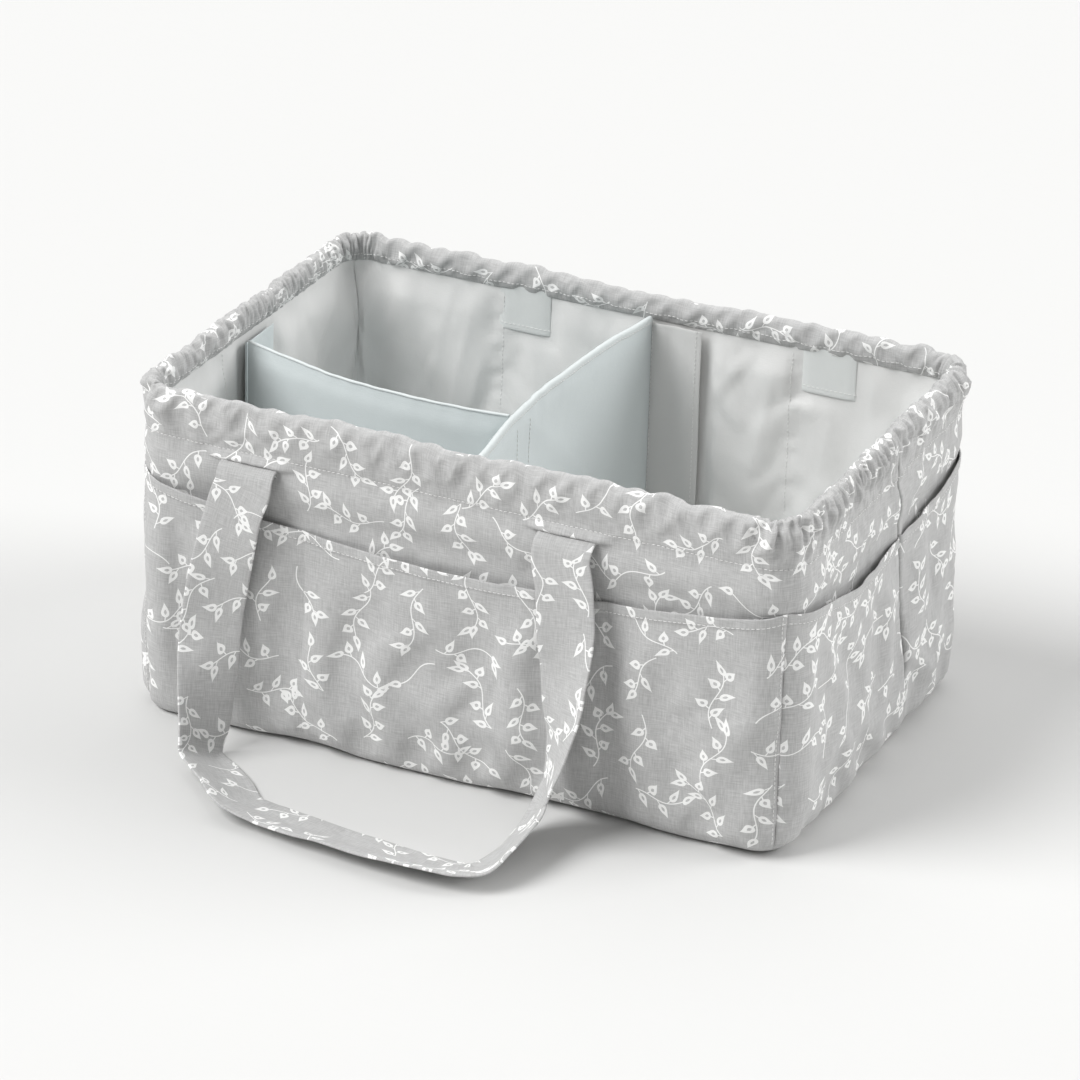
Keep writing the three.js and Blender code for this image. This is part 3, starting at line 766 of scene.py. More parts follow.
def mix_cotton(dyes, print_tree):
    """Grey melange cotton with a white leaf-sprig print, plain woven, darkened by painted shade along the
    seams.
    """
    tree, shader = new_finish("leaf_print_cotton")
    place = cloth_place(tree)
    warp = threads(tree, place, *COTTON_YARN)
    weft = threads(tree, place, *COTTON_YARN[::-1])
    weave = reckon(tree, "ADD", warp, weft)
    yarn = reckon(tree, "MULTIPLY_ADD", weave, 2.0, -1.5, clamp=True)
    cloud = threads(tree, place, *COTTON_CLOUD, detail=4.0)
    ground = blend_colour(tree, yarn, shade(dyes.cotton, 0.80), shade(dyes.cotton, 1.20))
    ground = blend_colour(tree, reckon(tree, "MULTIPLY", cloud, 0.5), ground, dyes.cotton)
    ink = add_node(tree, "ShaderNodeGroup", {"Place": place}, node_tree=print_tree)
    worn = reckon(tree, "MULTIPLY_ADD", weft, 0.25, 0.8, clamp=True)
    printed = blend_colour(tree, reckon(tree, "MULTIPLY", ink.outputs[0], worn), ground, dyes.leaf)
    # Painted shade along the seams: where the seam attribute is set, the cloth is darkened towards a fifth of
    # the cotton grey
    depth = add_node(tree, "ShaderNodeAttribute", attribute_name=SEAM_SHADE_MARK).outputs["Fac"]
    finish = {
        "Base Color": blend_colour(tree, depth, printed, shade(dyes.cotton, 0.2)),
        "Normal": relief(tree, weave, 0.35, 0.00025),
        "Roughness": 0.88,
        "Specular IOR Level": 0.25,
        "Sheen Weight": 0.12,
        "Sheen Roughness": 0.5,
    }
    fill_inputs(tree, shader, finish)


def mix_smooth_cloth(name, colour, roughness, sheen, streak):
    """Smooth woven cloth with fine yarns and soft cloudy unevenness."""
    tree, shader = new_finish(name)
    place = cloth_place(tree)
    warp = threads(tree, place, *SMOOTH_YARN)
    weft = threads(tree, place, *SMOOTH_YARN[::-1])
    weave = reckon(tree, "ADD", warp, weft)
    cloud = threads(tree, place, *SMOOTH_CLOUD, detail=5.0)
    yarn = reckon(tree, "MULTIPLY_ADD", weave, 1.2, -0.7, clamp=True)
    ground = blend_colour(tree, yarn, shade(colour, 1 - streak), shade(colour, 1 + streak))
    crumple = threads(tree, place, *SMOOTH_CRUMPLE, detail=3.0)
    height = reckon(tree, "MULTIPLY_ADD", crumple, 2.5, weave)
    finish = {
        "Base Color": blend_colour(tree, cloud, ground, shade(colour, 0.985)),
        "Normal": relief(tree, height, 0.3, 0.0003),
        "Roughness": reckon(tree, "MULTIPLY_ADD", cloud, 0.16, roughness - 0.08),
        "Sheen Weight": sheen,
    }
    fill_inputs(tree, shader, finish)


def mix_fleck(name, colour, roughness, scale, depth):
    """Napped, ribbed or fibrous finish: flecks of light and dark in the body of the piece."""
    tree, shader = new_finish(name)
    place = add_node(tree, "ShaderNodeTexCoord").outputs["Object"]
    flecks = uneven(tree, place, scale, 4.0, 0.7)
    finish = {
        "Base Color": blend_colour(tree, flecks, shade(colour, 0.86), shade(colour, 1.1)),
        "Normal": relief(tree, flecks, 0.6, depth),
        "Roughness": roughness,
    }
    fill_inputs(tree, shader, finish)


# Pieces


CASING_PROFILE = np.array(
    [
        (0.35, 170.0),
        (0.55, 172.5),
        (1.1, 176.0),
        (2.1, 182.0),
        (2.7, 188.5),
        (2.3, 194.5),
        (0.2, 199.3),
        (-2.8, 200.9),
        (-5.8, 199.4),
        (-7.5, 195.3),
        (-7.8, 190.5),
        (-7.0, 187.3),
        (-6.1, 185.0),
    ]
) * 0.001
INNER_STITCH_SHARE = 0.9
RIM_STITCH_RISE = 0.0026

# Band of shell and casing above the pockets
BAND_KNOT = 0.0013
BAND_BOTTOM = 0.118
SHELL_OUT = -0.0003
BAND_BULGE = 0.0018
BULGE_HEIGHTS = ((0.141, 0.155), (0.158, 0.170))
BAND_OFF_WALL = (0.141, 0.165)
GATHER_RISE = (0.006, 0.027)
GATHER_BELOW = (-0.04, 0)
BAND_STITCH_HOLD = 0.002
SHELL_IN = -0.0006
CASING_IN = -0.0014
BAND_ROOM = 0.0046

# Unevenness of the rim: lumps are a height, a length and a seed, puckers a lean, width, length, edge and seed
RIM_LUMPS = ((0.0016, 0.055, 31), (0.0012, 0.0085, 36))
RIM_ROLL_SHARE = 0.55
RIM_ROLL_WIDTH = 0.27
RIM_DENT = 0.0042
RIM_DENT_RISES = ((0.006, 0.016), (0.026, 0.034))
PUCKER_DEPTH = 0.0026
PUCKER_SWELL = 0.0012
SLANTING_PUCKERS = (0.7, 0.0075, 0.03, 0.36, 34)
UPRIGHT_PUCKERS = (-0.15, 0.0052, 0.02, 0.36, 35)

# Seams
END_SEAM = 0.038
LONG_SEAMS = (-0.091, 0.091)
SEAM_HALF = 0.0018
SEAM_DEPTH = 0.0024
SEAM_SHARP = 0.0011
SEAM_SWELL = 0.008
SEAM_STOPS = (0.00005, 0.0005, 0.0010, 0.0017, 0.0026)
SEAM_STIFF = 0.005
SEAM_FADE = (0.004, 0.016)
# Painted shade along the end seams: its strength and its width
SEAM_SHADE = 0.6
SEAM_SHADE_WIDTH = 0.0009
SEAM_LEAN = 0.2
SEAM_LEAN_REACH = 0.075
SEAM_LEVEL = 0.040

# Straps where they leave the wall
FRONT_HANDLE_SHIFT = -0.028
BACK_HANDLE_SHIFT = -0.018
STRAP_SLIT = 0.1665
STRAP_LIP = 0.0036
STRAP_LIP_RISES = ((-0.0006, 0.0014), (0.002, 0.0075))

# Foot of the walls
FOOT_RADIUS = 0.0105
FOOT_UNEVEN = 0.0045

# Pockets; gapes are those of the pockets of a side, in order
POCKET_KNOT = 0.0035
POCKET_ROWS = 42
POCKET_OUT = 0.0011
POCKET_ROOM = 0.0100
POCKET_FULLNESS = {"front": 0.018, "right": 0.016, "back": 0.018, "left": 0.016}
POCKET_GAPES = {
    "front": (0.0026, 0.0036, 0.0034),
    "right": (0.0040, 0.0026),
    "back": (0.0036, 0.0034, 0.0040),
    "left": (0.0036, 0.0030),
}
POCKET_BELLY = 0.0025
POCKET_BELLY_HEIGHT = 0.04
POCKET_SLACK = 0.0034
POCKET_SLACK_FOLDS = (0.15, 0.026, 0.16)
POCKET_CRIMP = 0.0004
POCKET_VALLEY = 0.0007
END_VALLEY = 0.0022
END_VALLEY_SWELL = 0.0014
HEM_STITCH = 0.0050
HEM_STEP = 0.0006
HEM_WAVE = 0.0012

# Lining; corner slacks are a depth and how far they reach before and after each corner
LINING_KNOT = 0.0036
LINING_TOP = 0.1895
LINING_CURVE = 0.007
LINING_ROOM = 0.010
LINING_HELD = (0.010, 0.183)
LINING_FULLNESS = (1.007, 1.003)
LINING_CRIMP = 0.0006
CORNER_SLACKS = ((0.003, 0.03, 0.03), (0.004, 0.03, 0.04), (0.007, 0.026, 0.05), (0.003, 0.03, 0.03))
CORNER_SLACK_HEIGHTS = ((0.008, 0.05), (0.15, 0.183))
# Crumples are a height, lean, width, length and seed, and creases have an edge before the seed
LINING_CREASES = ((0.0012, 0.6, 0.024, 0.09, 0.45, 88), (0.0006, 0.15, 0.012, 0.05, 0.5, 90))
LINING_CRUMPLES = ((0.0030, 0.6, 0.034, 0.16, 91), (0.0022, -0.5, 0.04, 0.15, 92))
LINING_CRUMPLE_HEIGHTS = ((0.008, 0.03), (0.165, 0.183))
FLAT_FADE = 0.008
FLOOR_CRUMPLES = ((0.0020, 0.9, 0.045, 0.2, 93), (0.0014, -0.6, 0.05, 0.18, 94))
FLAP_WALLS = {
    "main_divider_front_flap": "front",
    "main_divider_back_flap": "back",
    "cross_divider_wall_flap": "left",
}


def spline(knots, share):
    """Places on a rounded line through knots, share from 0 to 1 by length."""
    knots = np.asarray(knots, float)
    before = np.vstack([2 * knots[0] - knots[1], knots, 2 * knots[-1] - knots[-2]])
    fine = []
    for index in range(len(knots) - 1):
        a, b, c, d = before[index : index + 4]
        t = np.linspace(0, 1, 24, endpoint=index == len(knots) - 2)[:, None]
        curve = (2 * a - 5 * b + 4 * c - d) * t**2 + (3 * b - a - 3 * c + d) * t**3
        fine.append(0.5 * (2 * b + (c - a) * t + curve))
    fine = np.concatenate(fine)
    gone = lengths_along(fine)
    return between(share * gone[-1], gone, fine)


def spline_length(knots):
    """Length of that line."""
    return lengths_along(spline(knots, np.linspace(0, 1, 400)))[-1]


class Caddy:
    """Surfaces that the sewn pieces lie on."""

    bands = {}

    def __init__(self, sizes):
        self.sizes = sizes
        self.line = WallLine(sizes)
        self.casing_length = spline_length(CASING_PROFILE)
        self.strap_places = [
            (side, shift + half * sizes.handle_spacing / 2)
            for side, shift in (("front", FRONT_HANDLE_SHIFT), ("back", BACK_HANDLE_SHIFT))
            for half in (-1, 1)
        ]

    def half_start(self, name):
        """Distance at which the front or back half of the shell and rim starts."""
        return self.line.middle({"front": "left", "back": "right"}[name]) + END_SEAM

    def half_columns(self, start, pitch):
        """Columns of half the band from end seam to end seam, close together at both."""
        stops = np.array(SEAM_STOPS)
        end = start + self.line.perimeter / 2
        inside = spaced(start + stops[-1], end - stops[-1], pitch)[1:-1]
        return np.concatenate([start + stops, inside, end - stops[::-1]])

    def drawn_in(self, distance, end_reach, corner_width):
        """Shares of the short ends and of the corners, where the elastic gathers the rim most."""
        inward = self.line.into_long_wall(distance)
        return 1 - smooth_step(-0.004, end_reach, inward), bell(inward + self.line.quarter / 2, corner_width)

    def settle_band(self, start):
        """Half the band above the pockets: shell and gathered casing as one sheet.

        Its places are distance, depth inwards and height. Its rise is the length up the cloth from
        the foot of the casing.
        """
        line, sizes = self.line, self.sizes
        foot_out, foot_height = CASING_PROFILE[0]
        along = spaced(start, start + line.perimeter / 2, BAND_KNOT)
        below = spaced(BAND_BOTTOM, foot_height, 2 * BAND_KNOT)[:-1]
        bulge = BAND_BULGE * plateau(*BULGE_HEIGHTS, below)
        bulge -= (foot_out - SHELL_OUT) * (1 - smooth_step(*BAND_OFF_WALL, below))
        level = spaced(0, self.casing_length, BAND_KNOT)
        section = spline(CASING_PROFILE, level / self.casing_length)
        out = np.concatenate([foot_out + bulge, section[:, 0]])
        height = np.concatenate([below, section[:, 1]])
        up = np.concatenate([below - foot_height, level])
        distance, depth = np.meshgrid(along, -out)
        places = np.stack([distance, depth, np.broadcast_to(height[:, None], distance.shape)], -1)
        rise = np.broadcast_to(up[:, None], distance.shape)
        ends, corner = self.drawn_in(distance, 0.03, 0.016)
        gather = sizes.long_gather + (sizes.end_gather - sizes.long_gather) * ends
        gather = gather + sizes.corner_gather * corner
        gathered = 1 - 0.4 * smooth_step(0.8, 1, rise / self.casing_length)
        gathered = 0.1 + 0.9 * gathered * smooth_step(*GATHER_RISE, rise)
        gathered = gathered * smooth_step(*GATHER_BELOW, rise)
        stitches = (RIM_STITCH_RISE, INNER_STITCH_SHARE * self.casing_length)
        sewn = bell(nearest(rise, stitches), BAND_STITCH_HOLD)
        held = np.zeros(distance.shape, bool)
        held[[0, -1]] = True
        held[:, [0, -1]] = True
        low = np.where(rise < 0, SHELL_IN, CASING_IN) * (1 - 0.85 * sewn)
        high = BAND_ROOM * (1 - 0.8 * sewn)
        bend = 0.22 - 0.214 * ends
        places = settle(places, (1 + gather * gathered, 1.003), held, low, high, bend, 3e-7, 7)
        return Sheet(along, up, places)

    def band(self, name):
        """Surface of the front or back half of the band as a function of distance and rise."""
        if name not in self.bands:
            self.bands[name] = self.settle_band(self.half_start(name))
        sheet = self.bands[name]

        def surface(distance, rise):
            places = sheet(distance, rise)
            x, out, height = places[..., 0], -places[..., 1], places[..., 2]
            free = 1 - bell(self.line.seam_away(x), SEAM_STIFF)
            roll = bell(rise / self.casing_length - RIM_ROLL_SHARE, RIM_ROLL_WIDTH)
            lumps = sum(tall * cloth_noise(x / long, 0.0, seed) for tall, long, seed in RIM_LUMPS)
            dents = np.clip(cloth_noise(x / 0.012, rise / 0.03, 33) - 0.25, 0, 0.6)
            dents = RIM_DENT * dents * plateau(*RIM_DENT_RISES, rise)
            groove = self.end_seam_groove(x) * (1 - smooth_step(*SEAM_FADE, rise))
            out = out + self.strap_tuck(x, height) - groove - free * (dents + self.puckers(x, rise))
            return self.line.stand(x + self.line.lean(x, height), out, height + lumps * roll * free)

        return surface

    def puckers(self, distance, rise):
        """Sharp slanting creases that the elastic draws into the rim of the short ends and the corners."""
        ends, corner = self.drawn_in(distance, 0.02, 0.018)
        rolled = smooth_step(0.008, 0.022, rise) * (1 - 0.7 * smooth_step(0.024, 0.034, rise))
        slanting = ends * creases(distance, rise, *SLANTING_PUCKERS)
        upright = corner * creases(distance, rise, *UPRIGHT_PUCKERS)
        swelling = PUCKER_SWELL * np.maximum(ends, corner)
        return (PUCKER_DEPTH * (slanting + upright) - swelling) * rolled

    def end_seam_groove(self, distance):
        """Groove where the two halves of the shell and rim are joined, between soft swellings."""
        away = self.line.seam_away(distance)
        return SEAM_DEPTH * (np.exp(-np.abs(away) / SEAM_SHARP) - bell(away, SEAM_SWELL))

    def painted_seam_shade(self, distance):
        """Painted shade of an end seam at each place, from 0 to 1, darkest in the seam."""
        return SEAM_SHADE * bell(self.line.seam_away(distance), SEAM_SHADE_WIDTH)

    def strap_tuck(self, distance, height):
        """Lip of cloth that stands over each strap where it leaves the wall."""
        half_strap = self.sizes.strap_width / 2
        wide = 0
        for side, along in self.strap_places:
            away = np.abs(self.line.past(distance, self.line.middle(side) + along))
            wide = wide + 1 - smooth_step(half_strap - 0.001, half_strap + 0.012, away)
        return STRAP_LIP * wide * plateau(*STRAP_LIP_RISES, height - STRAP_SLIT)

    def foot_curl(self, distance, height):
        """How far the cloth turns in under the foot of the wall."""
        radius = FOOT_RADIUS + FOOT_UNEVEN * cloth_noise(distance / 0.045, 0.0, 24)
        low = np.clip(radius - height, 0, radius)
        return radius - np.sqrt(np.maximum(radius**2 - low**2, 0))

    def shell(self, name):
        """Surface of half the outer shell as a function of distance and height."""
        band = self.band(name)

        def surface(distance, height):
            out = SHELL_OUT - self.foot_curl(distance, height)
            flat = self.line.stand(distance + self.line.lean(distance, height), out, height)
            above = band(distance, height - CASING_PROFILE[0, 1])
            return np.where((height < BAND_BOTTOM)[..., None], flat, above)

        return surface

    def pocket_reach(self, side):
        """Half the length of a pocket panel."""
        return self.line.half(side) + self.line.quarter / 2 - 0.00015

    def pocket_seams(self, side):
        """Stitched seams that part a panel into pockets, from the middle of its side."""
        return LONG_SEAMS if side in LONG_SIDES else (END_SEAM,)

    def pocket_edge(self, side, along):
        """Height of the hem."""
        sizes = self.sizes
        sag = sizes.pocket_sag_long if side in LONG_SIDES else sizes.pocket_sag_end
        wave = HEM_WAVE * cloth_noise(along / 0.045, 0.5, 40 + SIDES.index(side))
        reach = self.pocket_reach(side)
        return sizes.pocket_height - sag * (1 - (along / reach) ** 2) + wave

    def settle_pocket(self, side, seams, seed):
        """Settled pocket panel of a side; its places are along, depth inwards and height."""
        reach = self.pocket_reach(side)
        along, share = spaced(-reach, reach, POCKET_KNOT), np.linspace(0, 1, POCKET_ROWS)
        across, rise = np.meshgrid(along, share)
        edge = self.pocket_edge(side, across)
        height = rise * edge
        room = 0
        for start, end, gape in zip(seams[:-1], seams[1:], POCKET_GAPES[side]):
            room = room + gape * np.sin(np.pi * np.clip((across - start) / (end - start), 0, 1)) ** 0.75
        mouth = smooth_step(edge - 0.06, edge, height)
        belly = bell(height - POCKET_BELLY_HEIGHT, 0.026) * (1 - (across / reach) ** 2)
        room = room * smooth_step(0.004, 0.045, height) * (0.72 + 0.28 * mouth)
        out = POCKET_OUT + room + POCKET_BELLY * belly
        places = np.stack([across, -out, height], -1)
        held = (rise < 0.03) | (nearest(across, seams) < SEAM_HALF)
        bend = 0.4 + 0.5 * smooth_step(0.93, 0.95, rise)
        low = POCKET_OUT - 0.0002 - out
        high = (POCKET_ROOM - out) * (1 - 0.85 * smooth_step(0.6, 0.95, rise))
        fuller = 1 + POCKET_FULLNESS[side] * (1 - smooth_step(0.66, 0.94, rise))
        places = settle(places, (fuller, 1.002), held, low, high, bend, 8e-7, seed, 200)
        return Sheet(along, share, places)

    def pocket(self, side):
        """Surface of the pocket panel of a side as a function of along and height."""
        reach = self.pocket_reach(side)
        parting = self.pocket_seams(side)
        seams = (-reach, *parting, reach)
        seed = 50 + SIDES.index(side)
        sheet = self.settle_pocket(side, seams, seed)

        def surface(along, height):
            edge = self.pocket_edge(side, along)
            places = sheet(along, height / edge)
            near, inner = nearest(along, seams), nearest(along, parting)
            crimp = POCKET_CRIMP * cloth_noise(height / 0.006, along / 0.02, seed + 10)
            crimp = crimp * np.exp(-near / 0.006)
            hem = HEM_STEP * smooth_step(edge - HEM_STITCH - 0.0014, edge - HEM_STITCH - 0.0002, height)
            valley = POCKET_VALLEY * bell(inner, 0.0016)
            if side not in LONG_SIDES:
                valley = valley + END_VALLEY * np.exp(-inner / SEAM_SHARP)
                valley = valley - END_VALLEY_SWELL * bell(inner, SEAM_SWELL)
            distance, height = self.line.middle(side) + places[..., 0], places[..., 2]
            slack = np.maximum(0, long_folds(distance, height, *POCKET_SLACK_FOLDS, seed + 20))
            slack = slack * np.clip(near / 0.03, 0, 1) * smooth_step(0.01, 0.04, height)
            slack = POCKET_SLACK * slack * (1 - 0.8 * smooth_step(edge - 0.03, edge - 0.004, height))
            out = slack + crimp + hem - valley - places[..., 1] - self.foot_curl(distance, height)
            return self.line.stand(distance + self.line.lean(distance, height), out, height)

        return surface

    def lining(self, side):
        """Settled lining of a wall as a function of distance and height."""
        line, wall = self.line, self.sizes.wall
        middle, reach, seams = line.middle(side), self.lining_reach(side), self.pocket_seams(side)
        along = spaced(middle - reach, middle + reach, LINING_KNOT)
        up = spaced(wall, LINING_TOP, LINING_KNOT)
        distance, height = np.meshgrid(along, up)
        low = np.clip(LINING_CURVE - height + wall, 0, LINING_CURVE)
        out = -wall - LINING_CURVE + np.sqrt(np.maximum(LINING_CURVE**2 - low**2, 0))
        held = (height < LINING_HELD[0]) | (height > LINING_HELD[1])
        held |= (np.abs(distance - middle) > reach - 0.001) | (nearest(distance - middle, seams) < SEAM_HALF)
        held |= (self.off_flat_places(distance, height) < 0).any(axis=0)
        places = np.stack([distance, out, height], -1)
        places = settle(places, LINING_FULLNESS, held, 0.0, LINING_ROOM, 0.25, 3e-6, 80 + SIDES.index(side))
        sheet = Sheet(along, up, places)

        def surface(distance, height):
            places = sheet(distance, height)
            crimp = LINING_CRIMP * (1 + cloth_noise(height / 0.005, distance / 0.009, 85))
            crimp = crimp * bell(nearest(distance - middle, seams), 0.006)
            inward = crimp + self.corner_slack(distance, height) + self.lining_creases(distance, height)
            return line.stand(places[..., 0], places[..., 1] - inward, places[..., 2])

        return surface

    def corner_slack(self, distance, height):
        """How far the slack lining bridges the corners; it drops back to the wall in a steep fold."""
        line = self.line
        slack = 0
        for index, (depth, before, after) in enumerate(CORNER_SLACKS):
            corner = line.middle(SIDES[index]) + line.half(SIDES[index]) + line.quarter / 2
            away = line.past(distance, corner) + 0.004 * cloth_noise(height / 0.04, 0.0, 87 + index)
            slack = slack + depth * plateau((-before, -before / 3), (after / 3, after), away)
        return slack * plateau(*CORNER_SLACK_HEIGHTS, height)

    def lining_creases(self, distance, height):
        """Fine crumples of the thin lining, away from what lies flat on it."""
        fine = sum(deep * creases(distance, height, *crease) for deep, *crease in LINING_CREASES)
        fine = fine + raised_folds(distance, height, LINING_CRUMPLES)
        still = smooth_step(0, FLAT_FADE, self.off_flat_places(distance, height)).prod(axis=0)
        return fine * still * plateau(*LINING_CRUMPLE_HEIGHTS, height)

    def off_flat_places(self, distance, height):
        """How far a place on the lining is from each part that stays flat; below zero on it."""
        off = []
        for start, end, bottom, top in self.flat_places():
            beside = np.abs(self.line.past(distance, (start + end) / 2)) - (end - start) / 2
            off.append(np.maximum(beside, np.maximum(bottom - height, height - top)))
        return np.array(off)

    def lining_reach(self, side):
        """Half the length of a lining wall."""
        return self.line.half(side) + self.line.quarter / 2 - 0.0002

    def flat_places(self):
        """Parts of the lining under flaps, tapes and patches: distances and heights that stay flat."""
        line = self.line
        flat = []
        for side, along in self.strap_places:
            at = line.middle(side) + along
            flat.append((at - 0.018, at + 0.018, 0.158, 0.187))
        for node, side in FLAP_WALLS.items():
            low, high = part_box(node)
            ends = {"front": (low.x, high.x), "back": (-high.x, -low.x), "left": (-high.y, -low.y)}[side]
            at = line.middle(side)
            flat.append((at + ends[0] - 0.003, at + ends[1] + 0.002, 0.0, 0.19))
        return flat


class CADDY_OT_finishes(Operator):
    """Mix the cloths, threads and boards that the pieces are made of"""

    bl_idname = "caddy.finishes"
    bl_label = "Finishes"

    def execute(self, context):
        dyes = context.scene.caddy_dyes
        mix_cotton(dyes, print_group())
        mix_smooth_cloth("smooth_lining", dyes.lining, 0.42, 0.15, 0.02)
        mix_smooth_cloth("mint_cloth", dyes.divider, 0.5, 0.1, 0.025)
        mix_smooth_cloth("patch_cloth", dyes.patch, 0.45, 0.15, 0.02)
        mix_smooth_cloth("flap_cloth", shade(dyes.lining, 0.9), 0.42, 0.15, 0.02)
        mix_smooth_cloth("divider_binding", dyes.binding, 0.6, 0.1, 0.03)
        mix_fleck("white_thread", dyes.thread, 0.7, 3000.0, 0.0001)
        mix_fleck("grey_thread", dyes.cotton, 0.7, 3000.0, 0.0001)
        mix_fleck("fastening_tape", shade(dyes.thread, 0.93), 0.9, 1400.0, 0.0006)
        mix_fleck("ribbed_elastic", dyes.thread, 0.75, 700.0, 0.0004)
        mix_fleck("grey_board", (0.5, 0.43, 0.33), 0.9, 260.0, 0.0003)
        return {"FINISHED"}


def stand_in(piece, body, slot, node):
    """Let a piece ride on a body in the place of a node. slot is not used."""
    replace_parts(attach(piece, body), node)


SHELL_CLOTH = 0.0008
SHELL_PITCH = 0.0024
BASE_CLOTH = 0.0006
BASE_CORNER_SHARE = 0.63


class CADDY_OT_shell(Operator):
    """Sew the two halves of the outer shell and its base"""

    bl_idname = "caddy.shell"
    bl_label = "Outer shell"

    def execute(self, context):
        caddy = Caddy(context.scene.caddy_sizes)
        cotton = material_named("leaf_print_cotton")
        line = caddy.line
        edge = CASING_PROFILE[0, 1] + RIM_STITCH_RISE
        heights = (
            [0.0009, 0.002, 0.004, 0.0075],
            spaced(0.012, 0.112, 0.0125),
            spaced(BAND_BOTTOM, STRAP_SLIT - 0.002, SHELL_PITCH),
            spaced(STRAP_SLIT - 0.001, edge, 0.0009),
        )
        heights = np.concatenate(heights)
        for name in LONG_SIDES:
            along = caddy.half_columns(caddy.half_start(name), SHELL_PITCH)
            points, flat = cloth_grid(caddy.shell(name), along, heights)
            flat[..., 0] += line.lean(flat[..., 0], flat[..., 1])
            # Painted shade along the end seams
            seam = np.broadcast_to(caddy.painted_seam_shade(along), points.shape[:2])
            piece = sew(f"{name}_shell_cloth", points, cotton, SHELL_CLOTH, flat, seam=seam)
            stand_in(piece, "caddy", "printed_cotton", f"outer_{name}_shell")
        base = self.base(caddy, cotton)
        stand_in(base, "caddy", "printed_cotton", "outer_base_panel")
        return {"FINISHED"}

    def base(self, caddy, cotton):
        """Cloth under the base, facing down."""
        low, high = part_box("outer_base_panel")
        corner = caddy.sizes.corner * BASE_CORNER_SHARE
        points, flat = rounded_plate(low.x, high.x, low.y, high.y, corner, 0.006)
        sag = 0.0004 * cloth_noise(flat[..., 0] / 0.05, flat[..., 1] / 0.05, 27)
        points[..., 2] = BASE_CLOTH + sag
        return sew("base_cloth", points[:, ::-1], cotton, BASE_CLOTH, flat[:, ::-1])


def rounded_plate(left, right, front, back, corner, pitch):
    """Level grid with rounded corners, and its places on the cloth."""
    rows = np.concatenate(
        [
            front + corner * (1 - np.cos(np.linspace(0.02, math.pi / 2, 7))),
            spaced(front + corner, back - corner, pitch)[1:-1],
            back - corner * (1 - np.cos(np.linspace(math.pi / 2, 0.02, 7))),
        ]
    )
    deep = np.maximum(np.maximum(front + corner - rows, rows - back + corner), 0)
    cut = corner - np.sqrt(np.maximum(corner**2 - deep**2, 0))
    share = spaced(0, 1, pitch / (right - left))
    x = (left + cut)[:, None] * (1 - share) + (right - cut)[:, None] * share
    y = np.broadcast_to(rows[:, None], x.shape)
    return np.stack([x, y, 0 * x], -1), np.stack([x, y], -1)


RIM_CLOTH = 0.0008


class CADDY_OT_rim(Operator):
    """Sew the gathered rim, its casing stitches and the seams where its halves meet"""

    bl_idname = "caddy.rim"
    bl_label = "Gathered rim"

    def execute(self, context):
        caddy = Caddy(context.scene.caddy_sizes)
        line = caddy.line
        cotton = material_named("leaf_print_cotton")
        rises = spaced(RIM_STITCH_RISE, caddy.casing_length, 0.0014)
        outer, inner = RIM_STITCH_RISE + 0.0002, INNER_STITCH_SHARE * caddy.casing_length
        # Painted seam shade, kept weaker up on the roll
        seam_shade_kept = 1 - 0.7 * smooth_step(0.010, 0.020, rises)
        rows = []
        for name in LONG_SIDES:
            surface = caddy.band(name)
            along = caddy.half_columns(caddy.half_start(name), 0.0010)
            points, flat = cloth_grid(surface, along, rises)
            flat[..., 1] += CASING_PROFILE[0, 1]
            flat[..., 0] += line.lean(flat[..., 0], flat[..., 1])
            seam = caddy.painted_seam_shade(along)[None] * seam_shade_kept[:, None]
            piece = sew(f"{name}_rim_gathers", points, cotton, RIM_CLOTH, flat, seam=seam)
            stand_in(piece, "caddy", "printed_cotton", f"{name}_rim_casing")
            rows += [on_cloth(surface, along, rise) for rise in (outer, inner)]
        stitch("rim_stitches", rows)
        return {"FINISHED"}


POCKET_CLOTH = 0.0009
POCKET_PRINT_STEP = 0.31
POCKET_PRINT_START = (0.17, 0.23)


